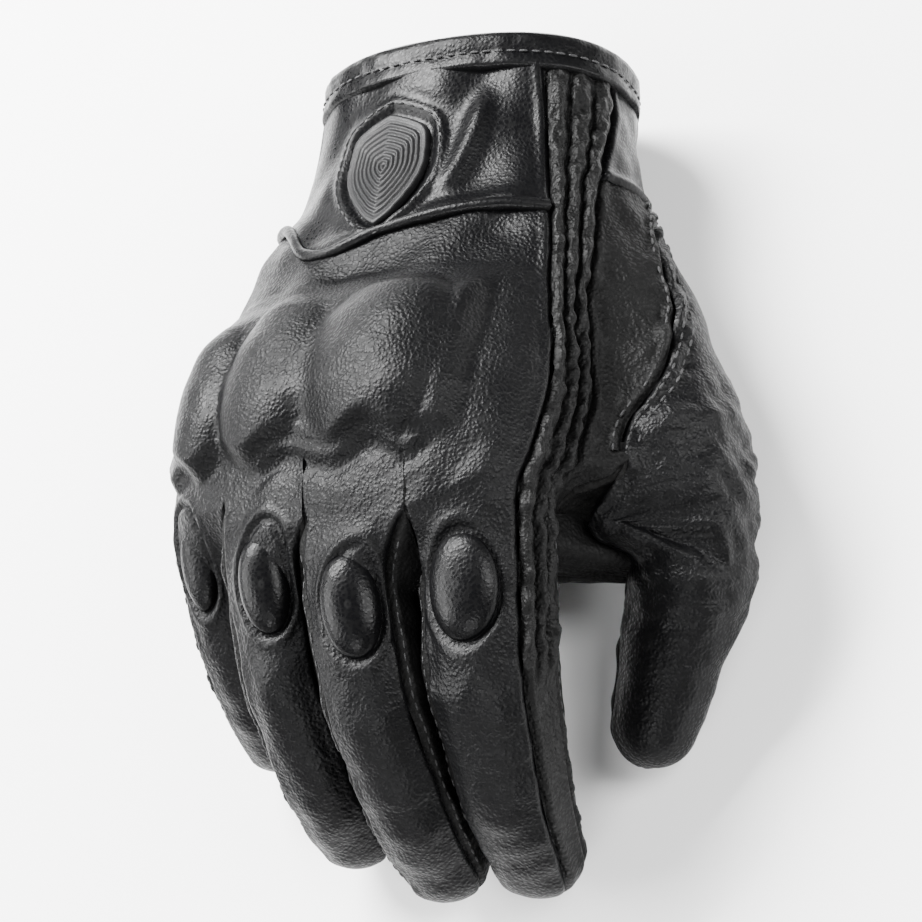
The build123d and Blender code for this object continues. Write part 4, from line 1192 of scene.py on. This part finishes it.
def stitch_rows(name, rows, spacing=3.0, length=2.3, thickness=0.62):
    """Stitches along rows of points in millimetres, as one plain mesh."""
    corners, edges = [], []
    for row in rows:
        first = len(corners)
        corners += [tuple(p) for p in placed(row)]
        edges += [(first + i, first + i + 1) for i in range(len(row) - 1)]
    mesh = bpy.data.meshes.new(name)
    mesh.from_pydata(corners, edges, [])
    piece = bpy.data.objects.new(name, mesh)
    bpy.context.collection.objects.link(piece)
    work = piece.modifiers.new("stitches", "NODES")
    work.node_group = thread_tree
    values = {"Spacing": spacing * MM, "Length": length * MM, "Thickness": thickness * MM,
              "Thread": thread_finish}
    for item in thread_tree.interface.items_tree:
        if item.name in values:
            work[item.identifier] = values[item.name]
    bpy.context.view_layer.update()
    made = piece.evaluated_get(bpy.context.evaluated_depsgraph_get())
    baked = bpy.data.meshes.new_from_object(made)
    piece.modifiers.clear()
    piece.data = baked
    return piece


def beside_edge(points, side, distance, rows=slice(None)):
    """The line on a panel at that distance from its first (0) or last (1) column."""
    gaps = edge_distances(points)[side][rows]
    line = []
    for row, gap in zip(points[rows], gaps):
        order = np.argsort(gap)
        line.append([np.interp(distance, gap[order], row[order, i]) for i in range(3)])
    return np.array(line)


RIM_STITCH_Y = 121.2  # in the binding's groove
rim_line = []
for turn in rim_turns:
    at = hand_skin(RIM_STITCH_Y, turn)
    rim_line.append(at + unit(at - hand_centres(at[1])) * 1.35)
badge_line = []
for turn, grown in zip(badge_turns, edge + 3.0):
    at = under_badge(grown * np.cos(turn), grown * np.sin(turn))
    badge_line.append(at + unit(at - hand_centres(at[1])) * 1.55)
seam_y = np.linspace(88, 19, 92)
beside_thumb = fair(seam_y, THUMB_SEAM, 1)
gusset_line = beside_edge(hand_strip(seam_y, beside_thumb, beside_thumb + 12,
                                     np.linspace(0, 1, 24)), 0, 2.6)
gusset_up = unit(gusset_line - hand_centres(gusset_line[:, 1]))
hand_rows = [np.array(rim_line), np.array(badge_line), gusset_line + gusset_up * 0.6,
             beside_edge(thumb_outer, 0, 2.6, slice(2, cut_rows[0])),
             beside_edge(thumb_outer, 0, 5.2, slice(2, cut_rows[0]))]
for (ys, angles, out) in (((66, 26), (224, 281), 1.45), ((89, 75), (261, 276), 4.05)):
    corner = [(ys[0], angles[0]), (ys[0], angles[1]), (ys[1], angles[1]), (ys[1], angles[0]),
              (ys[0], angles[0])]
    way = []
    for (y0, a0), (y1, a1) in zip(corner, corner[1:]):
        t = np.linspace(0, 1, 30)[:-1]
        way.append(np.stack([y0 + (y1 - y0) * t, a0 + (a1 - a0) * t], -1))
    way = np.concatenate(way)
    at = hand_skin(way[:, 0], way[:, 1])
    hand_rows.append(at + unit(at - hand_centres(way[:, 0])) * out)
hand_stitches = stitch_rows("stitches_of_hand", hand_rows)
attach(hand_stitches, "hand")

for finger, panels in PANELS.items():
    s_rows = finger_edges[finger, "fourchette"][0]
    rows = {"root": [], "end": []}
    cut_row = int(np.argmin(np.abs(s_rows - CUTS[finger])))
    last_row = int(np.argmin(np.abs(s_rows - s_rows[-1] + 12)))
    first_row = int(np.argmin(np.abs(s_rows - CUTS[finger] + 16)))
    for part, side in (("fourchette", 0), ("near_fourchette", 1), ("side", 1)):
        if (finger, part) not in finger_edges:
            continue
        grid_points = finger_edges[finger, part][1]
        rows["root"].append(beside_edge(grid_points, side, 1.9, slice(first_row, cut_row)))
        rows["end"].append(beside_edge(grid_points, side, 1.9, slice(cut_row, last_row)))
    root = stitch_rows(f"stitches_of_{finger}_root", rows["root"], 2.8, 2.0, 0.5)
    end = stitch_rows(f"stitches_of_{finger}_end", rows["end"], 2.8, 2.0, 0.5)
    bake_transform(root)
    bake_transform(end)
